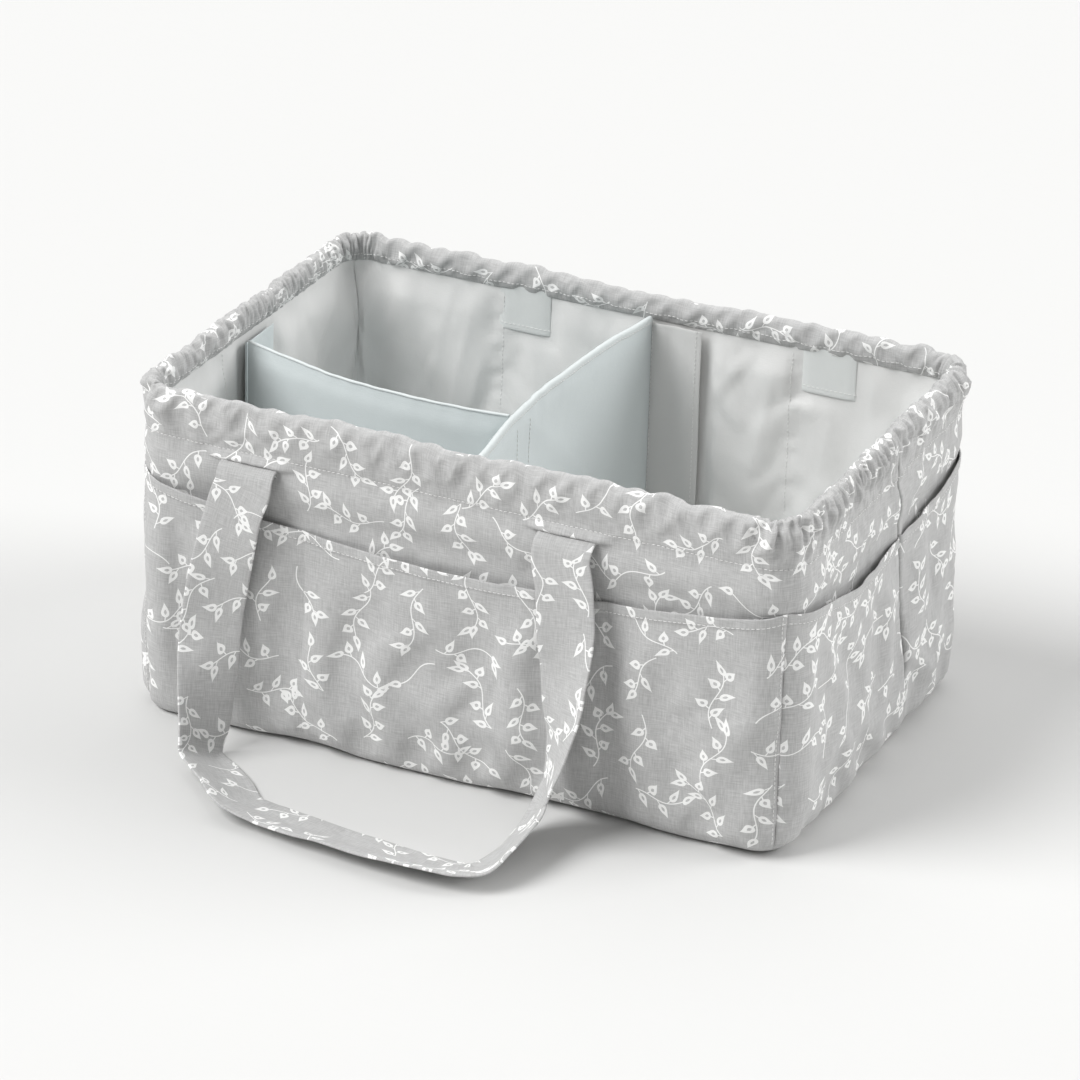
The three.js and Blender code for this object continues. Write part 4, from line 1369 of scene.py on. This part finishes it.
class CADDY_OT_pockets(Operator):
    """Sew the pocket panels with their hems, pocket seams and corner seams"""

    bl_idname = "caddy.pockets"
    bl_label = "Outside pockets"

    def execute(self, context):
        caddy = Caddy(context.scene.caddy_sizes)
        cotton = material_named("leaf_print_cotton")
        for index, side in enumerate(SIDES):
            surface = caddy.pocket(side)
            reach = caddy.pocket_reach(side)
            along = spaced(-reach, reach, 0.0021)
            if side not in LONG_SIDES:
                beside = np.array([0, *SEAM_STOPS])
                along = along[np.abs(along - END_SEAM) > SEAM_STOPS[-1] + 0.0005]
                along = np.sort(np.concatenate([along, END_SEAM - beside, END_SEAM + beside[1:]]))
            share = [[0.004, 0.011, 0.025, 0.045], spaced(0.07, 0.945, 0.0165), spaced(0.951, 1, 0.007)]
            across, rise = np.meshgrid(along, np.concatenate(share))
            height = rise * caddy.pocket_edge(side, across)
            distance = across + caddy.line.middle(side)
            flat = np.stack([across + POCKET_PRINT_STEP * index, height], -1) + POCKET_PRINT_START
            flat[..., 0] += caddy.line.lean(distance, height)
            # seam is the painted shade along the end seams
            points, seam = surface(across, height), caddy.painted_seam_shade(distance)
            piece = sew(f"{side}_pocket_cloth", points, cotton, POCKET_CLOTH, flat, seam=seam)
            stand_in(piece, "caddy", "printed_cotton", f"{side}_pocket_panel")
            self.sew_seams(caddy, side, surface, reach)
        return {"FINISHED"}

    def sew_seams(self, caddy, side, surface, reach):
        """Hem, pocket seams and the corner seam of one panel."""
        hem = spaced(-reach + 0.001, reach - 0.001, 0.002)
        rows = [on_cloth(surface, hem, caddy.pocket_edge(side, hem) - HEM_STITCH)]
        rows.append(self.upright(caddy, side, surface, reach - 0.0022))
        stitch(f"{side}_hem_stitches", rows)
        if side in LONG_SIDES:
            seams = [self.upright(caddy, side, surface, seam) for seam in caddy.pocket_seams(side)]
            stitch(f"{side}_pocket_stitches", seams, thread="grey_thread")

    def upright(self, caddy, side, surface, along):
        """Row of places up a panel."""
        rise = spaced(0.009, float(caddy.pocket_edge(side, np.array(along))) - 0.001, 0.002)
        return on_cloth(surface, np.full_like(rise, along), rise)


STRAP_THICKNESS = 0.0014
STRAP_ROWS = 300
STRAP_COLUMNS = 13
STRAP_CROWN = 0.0006
STRAP_SOFT = 0.0008
STRAP_CREASE = 0.0010
STRAP_OFF_FLOOR = 0.0003
STRAP_PRINT_START = (0.61, 0.4)
HINGE_OUT = 0.010
# Two distances out from the wall near where each strap leaves it, and their height
FOLD_OUT = (0.001, 0.0095)
FOLD_HEIGHT = 0.17


def strap_stops(spacing, shift):
    """Route of a handle: along its wall, out from the wall, height, and the way across the strap."""
    left, right = shift - spacing / 2, shift + spacing / 2
    return [
        ((left, -0.0020, STRAP_SLIT + 0.0002), (1, 0, 0)),
        ((left, 0.0050, STRAP_SLIT - 0.0002), (1, 0, 0)),
        ((left, HINGE_OUT - 0.0008, STRAP_SLIT - 0.0040), (1, 0, 0)),
        ((left - 0.0005, HINGE_OUT + 0.0008, STRAP_SLIT - 0.0110), (1, 0, 0.05)),
        ((left - 0.0050, 0.0127, 0.1400), (1, 0, 0.12)),
        ((left - 0.0130, 0.0160, 0.0960), (0.95, -0.30, 0.10)),
        ((left - 0.0155, 0.0195, 0.0660), (0.90, -0.42, 0.02)),
        ((left - 0.0120, 0.0300, 0.0340), (0.62, -0.76, -0.18)),
        ((left - 0.0105, 0.0350, 0.0200), (0.45, -0.85, -0.28)),
        ((left - 0.0085, 0.0420, 0.0076), (0.29, -0.87, -0.41)),
        ((left + 0.0045, 0.0527, 0.0056), (0.20, -0.93, -0.31)),
        ((left + 0.0170, 0.0630, 0.0052), (0.08, -0.97, -0.27)),
        ((left + 0.0365, 0.0815, 0.0056), (0, -0.95, -0.28)),
        ((left + 0.0590, 0.0855, 0.0042), (-0.02, -0.97, -0.18)),
        ((left + 0.0975, 0.0910, 0.0045), (-0.13, -0.96, -0.24)),
        ((right - 0.0640, 0.0940, 0.0047), (-0.24, -0.94, -0.24)),
        ((right - 0.0340, 0.0960, 0.0057), (-0.32, -0.91, -0.30)),
        ((right - 0.0167, 0.0943, 0.0057), (-0.46, -0.83, -0.30)),
        ((right - 0.0060, 0.0895, 0.0062), (-0.57, -0.74, -0.36)),
        ((right - 0.0015, 0.0780, 0.0095), (-0.70, -0.43, -0.55)),
        ((right + 0.0002, 0.0640, 0.0118), (-0.71, -0.25, -0.65)),
        ((right + 0.0015, 0.0470, 0.0142), (-0.67, -0.24, -0.69)),
        ((right + 0.0022, 0.0360, 0.0190), (-0.57, -0.49, -0.65)),
        ((right + 0.0045, 0.0295, 0.0310), (-0.48, -0.85, -0.20)),
        ((right + 0.0070, 0.0240, 0.0540), (-0.68, -0.73, -0.05)),
        ((right + 0.0075, 0.0185, 0.0860), (-0.92, -0.38, 0)),
        ((right + 0.0060, 0.0144, 0.1180), (-1, 0, 0)),
        ((right + 0.0035, 0.0127, 0.1420), (-1, 0, 0)),
        ((right, HINGE_OUT + 0.0008, STRAP_SLIT - 0.0110), (-1, 0, 0)),
        ((right, HINGE_OUT - 0.0008, STRAP_SLIT - 0.0040), (-1, 0, 0)),
        ((right, 0.0050, STRAP_SLIT - 0.0002), (-1, 0, 0)),
        ((right, -0.0020, STRAP_SLIT + 0.0002), (-1, 0, 0)),
    ]


class CADDY_OT_handles(Operator):
    """Sew the two strap handles, hanging from the rim and looped on the floor"""

    bl_idname = "caddy.handles"
    bl_label = "Handles"

    def execute(self, context):
        sizes = context.scene.caddy_sizes
        cotton = material_named("leaf_print_cotton")
        for name, shift, turn in (("front", FRONT_HANDLE_SHIFT, 1), ("back", BACK_HANDLE_SHIFT, -1)):
            points, flat = self.strap(sizes, shift)
            spin = np.array([turn, turn, 1.0])
            piece = sew(f"{name}_strap_cloth", points * spin, cotton, STRAP_THICKNESS, flat, True, 3)
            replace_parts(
                piece, f"{name}_handle_strap", f"{name}_handle_left_end", f"{name}_handle_right_end"
            )
            start, end = ((0, -turn * (sizes.depth / 2 + out), FOLD_HEIGHT) for out in FOLD_OUT)
            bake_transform(piece)
            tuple(start)
            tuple(end)
        return {"FINISHED"}

    def strap(self, sizes, shift):
        """Grid of a strap and its places on the cloth."""
        stops = strap_stops(sizes.handle_spacing, shift)
        knots = np.array([(x, -sizes.depth / 2 - out, z) for (x, out, z), _ in stops])
        ways = np.array([(x, -out, z) for _, (x, out, z) in stops])
        marks = lengths_along(knots)
        share = spaced(0, 1, 1 / STRAP_ROWS)
        centre = spline(knots, share)
        ahead = unit(np.gradient(centre, axis=0))
        across = between(share, marks / marks[-1], ways)
        across = unit(across - ahead * (across * ahead).sum(1, keepdims=True))
        face = np.cross(across, ahead)
        beside = np.linspace(-0.5, 0.5, STRAP_COLUMNS) * sizes.strap_width
        gone = share * spline_length(knots)
        crown = STRAP_CROWN * (1 - (2 * beside / sizes.strap_width) ** 2)
        soft = STRAP_SOFT * cloth_noise(gone[:, None] / 0.02, beside[None] / 0.016, 71)
        soft = soft * np.minimum(1, 8 * np.minimum(share, 1 - share))[:, None]
        crease = STRAP_CREASE * bell(share - 0.5, 0.2)[:, None] * bell(beside, 0.006)
        lift = crown + soft + crease
        points = centre[:, None] + across[:, None] * beside[None, :, None] + face[:, None] * lift[..., None]
        points[..., 2] = np.maximum(points[..., 2], STRAP_THICKNESS / 2 + STRAP_OFF_FLOOR)
        print_x, print_y = beside[None] + STRAP_PRINT_START[0], gone[:, None] + STRAP_PRINT_START[1]
        return points, np.stack(np.broadcast_arrays(print_x, print_y), -1)


LINING_CLOTH = 0.0006
LINING_PITCH = 0.0024
FLOOR_INSET = 0.0015
FLOOR_LIFT = 0.0005
PATCH_REACH = 0.004
TAPE = ("fastening_tape", "hook_and_loop_tape")


class CADDY_OT_lining(Operator):
    """Sew the lining bag with its seams, strap patches and fastening tapes"""

    bl_idname = "caddy.lining"
    bl_label = "Lining"

    def execute(self, context):
        caddy = Caddy(context.scene.caddy_sizes)
        sizes, line = caddy.sizes, caddy.line
        nylon = material_named("smooth_lining")
        foot = sizes.wall + LINING_CURVE * (1 - np.cos(np.linspace(0.15, 1.57, 6)))
        heights = np.concatenate([foot, spaced(0.015, LINING_TOP, LINING_PITCH)])
        rise = spaced(0.014, 0.183, 0.002)
        for side in SIDES:
            surface, middle, reach = caddy.lining(side), line.middle(side), caddy.lining_reach(side)
            along = spaced(middle + reach, middle - reach, LINING_PITCH)
            points, flat = cloth_grid(surface, along, heights)
            piece = sew(f"{side}_lining_cloth", points, nylon, LINING_CLOTH, flat)
            stand_in(piece, "caddy", "lining_nylon", f"lining_{side}")
            rows = []
            for seam in caddy.pocket_seams(side):
                places, normals = on_cloth(surface, np.full_like(rise, middle + seam), rise)
                rows.append((places, -normals))
            stitch(f"{side}_lining_stitches", rows)
        self.floor(sizes, nylon)
        self.patches()
        return {"FINISHED"}

    def floor(self, sizes, nylon):
        """Lining over the base board."""
        inset = sizes.wall + FLOOR_INSET
        half_x, half_y = sizes.length / 2 - inset, sizes.depth / 2 - inset
        points, flat = rounded_plate(-half_x, half_x, -half_y, half_y, sizes.corner - inset, 0.0034)
        x, y = flat[..., 0], flat[..., 1]
        from_wall = np.minimum(half_x - np.abs(x), half_y - np.abs(y))
        crumple = raised_folds(x, y, FLOOR_CRUMPLES) * smooth_step(0, 0.03, from_wall)
        points[..., 2] = sizes.wall + FLOOR_LIFT + crumple
        piece = sew("base_lining_cloth", points, nylon, LINING_CLOTH, flat)
        stand_in(piece, "caddy", "lining_nylon", "lining_base")

    def patches(self):
        """Squares behind the strap ends and the tapes that the dividers fasten to."""
        for side in LONG_SIDES:
            for hand in ("left", "right"):
                patch = f"{side}_{hand}_patch"
                add_wall_cloth(patch, "patch_cloth", "divider_cloth", "caddy", ["foot"], reach_up=PATCH_REACH)
        for side in ("front", "back", "left"):
            add_wall_cloth(f"{side}_wall_loop_tape", *TAPE, "caddy")


SOFT_CLOTH = 0.0004
SOFT_EDGE = 0.0045
SOFT_FALL = 0.0006
SEWN_INSET = 2


def box_grid(node, inset, pitch, towards):
    """Upright grid over a node's broad face that looks towards a plan point, with its places."""
    low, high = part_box(node)
    middle = (low + high) / 2
    thin = 0 if high.x - low.x < high.y - low.y else 1
    wide = 1 - thin
    across = spaced(low[wide] + inset, high[wide] - inset, pitch)
    rise = spaced(low[2] + inset, high[2] - inset, pitch)
    facing = 1.0 if towards[thin] > middle[thin] else -1.0
    if (facing > 0) == (thin == 1):
        across = across[::-1]
    beside, height = np.meshgrid(across, rise)
    points = np.empty(beside.shape + (3,))
    points[..., wide] = beside
    points[..., thin] = middle[thin]
    points[..., 2] = height
    return points, np.stack([beside, height], -1), high[thin] - low[thin], thin, facing


def add_wall_cloth(node, finish, slot, body, sewn=(), wave=0.0002, towards=(0, 0), reach_up=0.0):
    """Flat sewn piece in the place of a node: a patch, a flap or a tape, with stitching inside its edges.

    sewn names the stitched edges. A piece that reaches up to the rim's seam is thin cloth, in soft
    upright folds that stand out from the wall.
    """
    points, flat, thickness, thin, facing = box_grid(node, 0.0004, 0.0015 if reach_up else 0.003, towards)
    ripple = wave * cloth_noise(flat[..., 0] / 0.009, flat[..., 1] / 0.05, 61)
    if reach_up:
        thickness = min(thickness, SOFT_CLOTH)
        share = (flat[..., 1] - flat[0, 0, 1]) / (flat[-1, 0, 1] - flat[0, 0, 1])
        points[..., 2] += reach_up * share
        inset = np.minimum(np.abs(flat[..., 0] - flat[0, 0, 0]), np.abs(flat[..., 0] - flat[0, -1, 0]))
        fallen = SOFT_FALL * (1 - smooth_step(0, SOFT_EDGE, inset))
        ripple = facing * (wave - fallen) + ripple
    points[..., thin] += ripple
    piece = sew(f"{node}_cloth", points, material_named(finish), thickness, flat, True, 2)
    stand_in(piece, body, slot, node)
    low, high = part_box(node)
    edges = {
        "foot": points[SEWN_INSET],
        "left": points[:, SEWN_INSET],
        "right": points[:, -1 - SEWN_INSET],
    }
    rows = []
    for edge in sewn:
        normals = np.zeros_like(edges[edge])
        normals[:, thin] = facing
        rows.append((edges[edge] + normals * thickness / 2, normals))
    if rows:
        stitch(f"{node}_stitches", rows, body)


DIVIDER_THICKNESS = 0.0046
DIVIDER_BOTTOM = 0.0062
MAIN_BOW = 0.0085
CROSS_BOW = 0.012
CROSS_START_Y = -0.0135
CROSS_END_Y = -0.0375
TAPE_HALF = 0.009
BINDING = 0.0005
MAIN_EDGE = (0.0020, 0.0024)
CROSS_EDGE = (0.0006, 0)
BINDING_EASE = 0.0002
TUCKED_SIDE = ((0.0003, -0.0042), (0.0003, -0.0005))
BOARD_INSET = 0.010
BOARD_THICKNESS = 0.0022
DIVIDER_SEEDS = {"main": 101, "cross": 111}
DIVIDER_DIP = 0.0005
DIVIDER_FOLD = 0.0020
DIVIDER_CRUMPLE = 0.0012
DIVIDER_PUCKER = 0.0005
DIVIDER_PUFF = 0.0008
DIVIDER_TAPER = 0.012
MAIN_FLAP = {"sewn": ["left", "right"], "wave": 0.0009, "reach_up": 0.004}
CROSS_FLAP = {"sewn": ["left"], "wave": 0.0004, "towards": (-0.1, 0), "reach_up": 0.001}


class CADDY_OT_dividers(Operator):
    """Sew the two padded dividers with their flaps and fastening tapes"""

    bl_idname = "caddy.dividers"
    bl_label = "Dividers"

    def execute(self, context):
        low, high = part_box("main_divider_cover")
        end_x = high.x - DIVIDER_THICKNESS / 2
        crossing = CROSS_END_Y - low.y
        rows = (crossing - TAPE_HALF, crossing + TAPE_HALF)
        self.divider("main", (end_x, low.y), (end_x, high.y), MAIN_BOW, high.z, MAIN_EDGE, rows)
        low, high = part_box("cross_divider_cover")
        start, end = (low.x, CROSS_START_Y), (high.x, CROSS_END_Y)
        self.divider("cross", start, end, -CROSS_BOW, high.z, CROSS_EDGE, ())
        for node in ("main_divider_front_flap", "main_divider_back_flap"):
            add_wall_cloth(node, "flap_cloth", "divider_cloth", "main_divider", **MAIN_FLAP)
        for node in ("cross_divider_wall_flap", "cross_divider_main_flap"):
            add_wall_cloth(node, "mint_cloth", "divider_cloth", "cross_divider", **CROSS_FLAP)
        for node in ("front_hook_tape", "back_hook_tape", "loop_tape"):
            add_wall_cloth(f"main_divider_{node}", *TAPE, "main_divider")
        for node in ("wall_hook_tape", "main_hook_tape"):
            add_wall_cloth(f"cross_divider_{node}", *TAPE, "cross_divider")
        return {"FINISHED"}

    def divider(self, name, start, end, bow, top, bound_edge, tape_rows):
        """Bowed padded panel between two plan points, its top edge bound and its tape sewn through.

        bound_edge is the thickness of the sewn edge and how far the binding reaches down from it,
        or 0 for an edging tucked in between the two faces.
        """
        edge, drop = bound_edge
        start, end = np.array(start), np.array(end)
        chord = end - start
        length = float(np.linalg.norm(chord))
        aside = np.array([-chord[1], chord[0]]) / length
        seed = DIVIDER_SEEDS[name]

        def surface(along, height):
            share = along / length
            plan = start + chord * share[..., None] + aside * (bow * 4 * share * (1 - share))[..., None]
            dip = DIVIDER_DIP * (1 - cloth_noise(along / 0.022, 0.0, seed))
            stretch = (height - DIVIDER_BOTTOM) / (top - DIVIDER_BOTTOM)
            soft = DIVIDER_FOLD * long_folds(along, height, 0.5, 0.05, 0.15, seed + 1)
            soft = soft + DIVIDER_CRUMPLE * np.abs(long_folds(along, height, 0.9, 0.03, 0.12, seed + 4))
            pucker = DIVIDER_PUCKER * cloth_noise(along / 0.008, height / 0.02, seed + 3)
            soft = soft + pucker * np.exp((height - top) / 0.012)
            plan = plan + aside * (soft * np.sin(np.pi * np.clip(share, 0, 1)))[..., None]
            return np.concatenate([plan, (height - dip * np.clip(stretch, 0, 1))[..., None]], -1)

        along = spaced(edge / 2, length - edge / 2, 0.003)
        heights = spaced(DIVIDER_BOTTOM + edge / 2, top - edge / 2, 0.003)
        points, flat = cloth_grid(surface, along, heights)
        swell = np.sin(np.pi * flat[..., 0] / length) ** 0.4
        swell = swell * np.sin(np.pi * np.clip((flat[..., 1] - 0.004) / (top - 0.004), 0, 1)) ** 0.4
        uneven_fill = cloth_noise(flat[..., 0] / 0.03, flat[..., 1] / 0.03, seed + 2)
        puff = DIVIDER_PUFF * swell * (1 + 0.5 * uneven_fill)
        inset = np.minimum(np.minimum(flat[..., 0], length - flat[..., 0]), top - flat[..., 1])
        thickness = edge + (DIVIDER_THICKNESS - edge) * smooth_step(0, DIVIDER_TAPER, inset) + puff
        piece = sew(f"{name}_divider_cloth", points, material_named("mint_cloth"), thickness, flat, True, 5)
        body = f"{name}_divider"
        stand_in(piece, body, "divider_cloth", f"{name}_divider_cover")
        self.bind(name, surface, length, top, edge, drop)
        self.stiffen(name, surface, length, top)
        rows = []
        for at in tape_rows:
            rise = spaced(0.03, top - 0.008, 0.002)
            places, normals = on_cloth(surface, np.full_like(rise, at), rise)
            rows.append((places + normals * (DIVIDER_THICKNESS / 2 + 0.0004), normals))
        if rows:
            stitch(f"{name}_divider_tape_stitches", rows, body)

    def stiffen(self, name, surface, length, top):
        """Board inside a divider, clear of its sewn edges."""
        along = spaced(BOARD_INSET, length - BOARD_INSET, 0.004)
        heights = spaced(DIVIDER_BOTTOM + 0.001, top - BOARD_INSET, 0.004)
        points, flat = cloth_grid(surface, along, heights)
        fibre = material_named("grey_board")
        board = sew(f"{name}_divider_stiffener", points, fibre, BOARD_THICKNESS, flat, True, 2)
        stand_in(board, f"{name}_divider", "stiffener_board", f"{name}_divider_board")

    def bind(self, name, surface, length, top, edge, drop):
        """Pale strip folded over the top edge of a divider, stitched through or tucked in."""
        body = f"{name}_divider"
        along = spaced(0.0012, length - 0.0012, 0.0016)
        turn = np.linspace(0, math.pi, 9)
        places, normals = on_cloth(surface, along, np.full_like(along, top - edge / 2))
        radius = edge / 2 + BINDING + BINDING_EASE
        side = [(radius, -drop)] if drop else TUCKED_SIDE
        side = np.array([*side, (radius, 0)])
        over = radius * np.stack([np.cos(turn), np.sin(turn)], -1)[1:-1]
        out, rise = np.concatenate([side, over, side[::-1] * (-1, 1)]).T
        pucker = 1 + 0.06 * cloth_noise(along / 0.0035, 0.0, 121)
        points = places + normals * (out[:, None] * pucker)[..., None]
        points[..., 2] += rise[:, None] * pucker
        gone = lengths_along(np.stack([out, rise], -1))
        flat = np.stack(np.meshgrid(along, gone), -1)
        tape = material_named("divider_binding")
        piece = sew(f"{name}_divider_binding", points, tape, BINDING, flat, False, 2)
        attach(piece, body)
        if drop:
            sewn = places + [0, 0, -drop * 0.6]
            offset = normals * radius
            stitch(f"{name}_divider_stitches", [(sewn + offset, normals), (sewn - offset, -normals)], body)


class CADDY_OT_stiffening(Operator):
    """Finish the boards and the elastic that stay hidden in the walls"""

    bl_idname = "caddy.stiffening"
    bl_label = "Hidden boards and elastic"

    def execute(self, context):
        for node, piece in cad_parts.items():
            finish = "ribbed_elastic" if node == "rim_elastic" else "grey_board" if "board" in node else None
            if finish:
                piece.data.materials.clear()
                piece.data.materials.append(material_named(finish))
        return {"FINISHED"}


CAMERA_AZIMUTH = math.radians(24.43)
CAMERA_ELEVATION = math.radians(25.45)
CAMERA_ROLL = math.radians(1.77)
CAMERA_DISTANCE = 2.83
CAMERA_TARGET = Vector((0.03382, -0.09216, 0.14116))
CAMERA_LENS = 173.98
SENSOR_WIDTH = 36.0
# The way to each lamp and its apparent size in degrees
KEY_WINDOW = ((-0.68, -0.58, 1.0), 34.0)
SIDE_WINDOW = ((0.78, 0.5, 0.5), 34.0)
TOP_WINDOW = ((-0.1, 0.45, 1.0), 55.0)
FLOOR_REACH = 6.0
FLOOR_LEVEL = -0.0003


class CADDY_OT_stage(Operator):
    """Set the pale floor, the studio light and the camera"""

    bl_idname = "caddy.stage"
    bl_label = "Stage"

    def execute(self, context):
        scene = context.scene
        light, dyes = scene.caddy_light, scene.caddy_dyes
        floor = self.floor(dyes)
        world = bpy.data.worlds.new("studio_air")
        world.use_nodes = True
        air = world.node_tree.nodes["Background"]
        air.inputs["Color"].default_value = (1.0, 1.0, 0.995, 1.0)
        air.inputs["Strength"].default_value = light.sky
        scene.world = world
        self.lamp("key_window", *KEY_WINDOW, light.key)
        self.lamp("side_window", *SIDE_WINDOW, light.side)
        self.lamp("top_window", *TOP_WINDOW, light.top)
        self.camera(scene)
        scene.view_settings.view_transform = "Standard"
        scene.view_settings.look = "None"
        return {"FINISHED"}

    def floor(self, dyes):
        """Wide level floor with a faint unevenness."""
        reach = spaced(-FLOOR_REACH, FLOOR_REACH, 0.5)
        points, flat = cloth_grid(lambda x, y: np.stack([x, y, 0 * x + FLOOR_LEVEL], -1), reach, reach)
        mix_smooth_cloth("studio_floor", dyes.floor, 0.8, 0.0, 0.0)
        return sew("studio_floor", points, material_named("studio_floor"), 0.01, flat * 0.05)

    def lamp(self, name, towards, spread, power):
        """Soft light from far away; spread is its apparent size in degrees."""
        data = bpy.data.lights.new(name, "SUN")
        data.angle = math.radians(spread)
        data.energy = power
        lamp = bpy.data.objects.new(name, data)
        lamp.location = Vector(towards) * 2
        lamp.rotation_euler = (-Vector(towards)).to_track_quat("-Z", "Y").to_euler()
        bpy.context.scene.collection.objects.link(lamp)

    def camera(self, scene):
        """Camera at the photograph's place."""
        azimuth, elevation, roll = CAMERA_AZIMUTH, CAMERA_ELEVATION, CAMERA_ROLL
        back = Vector(
            (
                math.sin(azimuth) * math.cos(elevation),
                -math.cos(azimuth) * math.cos(elevation),
                math.sin(elevation),
            )
        )
        level = Vector((0, 0, 1)).cross(back).normalized()
        upright = back.cross(level)
        right = level * math.cos(roll) + upright * math.sin(roll)
        up = upright * math.cos(roll) - level * math.sin(roll)
        data = bpy.data.cameras.new("photo_camera")
        data.lens = CAMERA_LENS
        data.sensor_width = SENSOR_WIDTH
        camera = bpy.data.objects.new("photo_camera", data)
        place = CAMERA_TARGET + back * CAMERA_DISTANCE
        turn = Matrix((right, up, back)).transposed().to_4x4()
        camera.matrix_world = Matrix.Translation(place) @ turn
        scene.collection.objects.link(camera)
        scene.camera = camera


OPERATORS = (
    CADDY_OT_finishes,
    CADDY_OT_shell,
    CADDY_OT_rim,
    CADDY_OT_pockets,
    CADDY_OT_handles,
    CADDY_OT_lining,
    CADDY_OT_dividers,
    CADDY_OT_stiffening,
    CADDY_OT_stage,
)


class CADDY_PT_panel(Panel):
    """Sewing steps, in order"""

    bl_idname = "CADDY_PT_panel"
    bl_label = "Diaper caddy"
    bl_space_type = "VIEW_3D"
    bl_region_type = "UI"
    bl_category = "Caddy"

    def draw(self, context):
        for group in (context.scene.caddy_sizes, context.scene.caddy_dyes, context.scene.caddy_light):
            box = self.layout.box()
            for name in group.__annotations__:
                box.prop(group, name)
        for operator in OPERATORS:
            self.layout.operator(operator.bl_idname)


CLASSES = (CaddySizes, CaddyDyes, CaddyLight, *OPERATORS, CADDY_PT_panel)


def register():
    """Add the caddy's properties, operators and panel."""
    for cls in CLASSES:
        bpy.utils.register_class(cls)
    bpy.types.Scene.caddy_sizes = PointerProperty(type=CaddySizes)
    bpy.types.Scene.caddy_dyes = PointerProperty(type=CaddyDyes)
    bpy.types.Scene.caddy_light = PointerProperty(type=CaddyLight)


def unregister():
    """Take them away again."""
    del bpy.types.Scene.caddy_light
    del bpy.types.Scene.caddy_dyes
    del bpy.types.Scene.caddy_sizes
    for cls in reversed(CLASSES):
        bpy.utils.unregister_class(cls)


def main():
    """Sew the whole caddy."""
    register()
    bpy.ops.caddy.finishes()
    bpy.ops.caddy.shell()
    bpy.ops.caddy.rim()
    bpy.ops.caddy.pockets()
    bpy.ops.caddy.handles()
    bpy.ops.caddy.lining()
    bpy.ops.caddy.dividers()
    bpy.ops.caddy.stiffening()
    bpy.ops.caddy.stage()


if __name__ == "__main__":
    main()
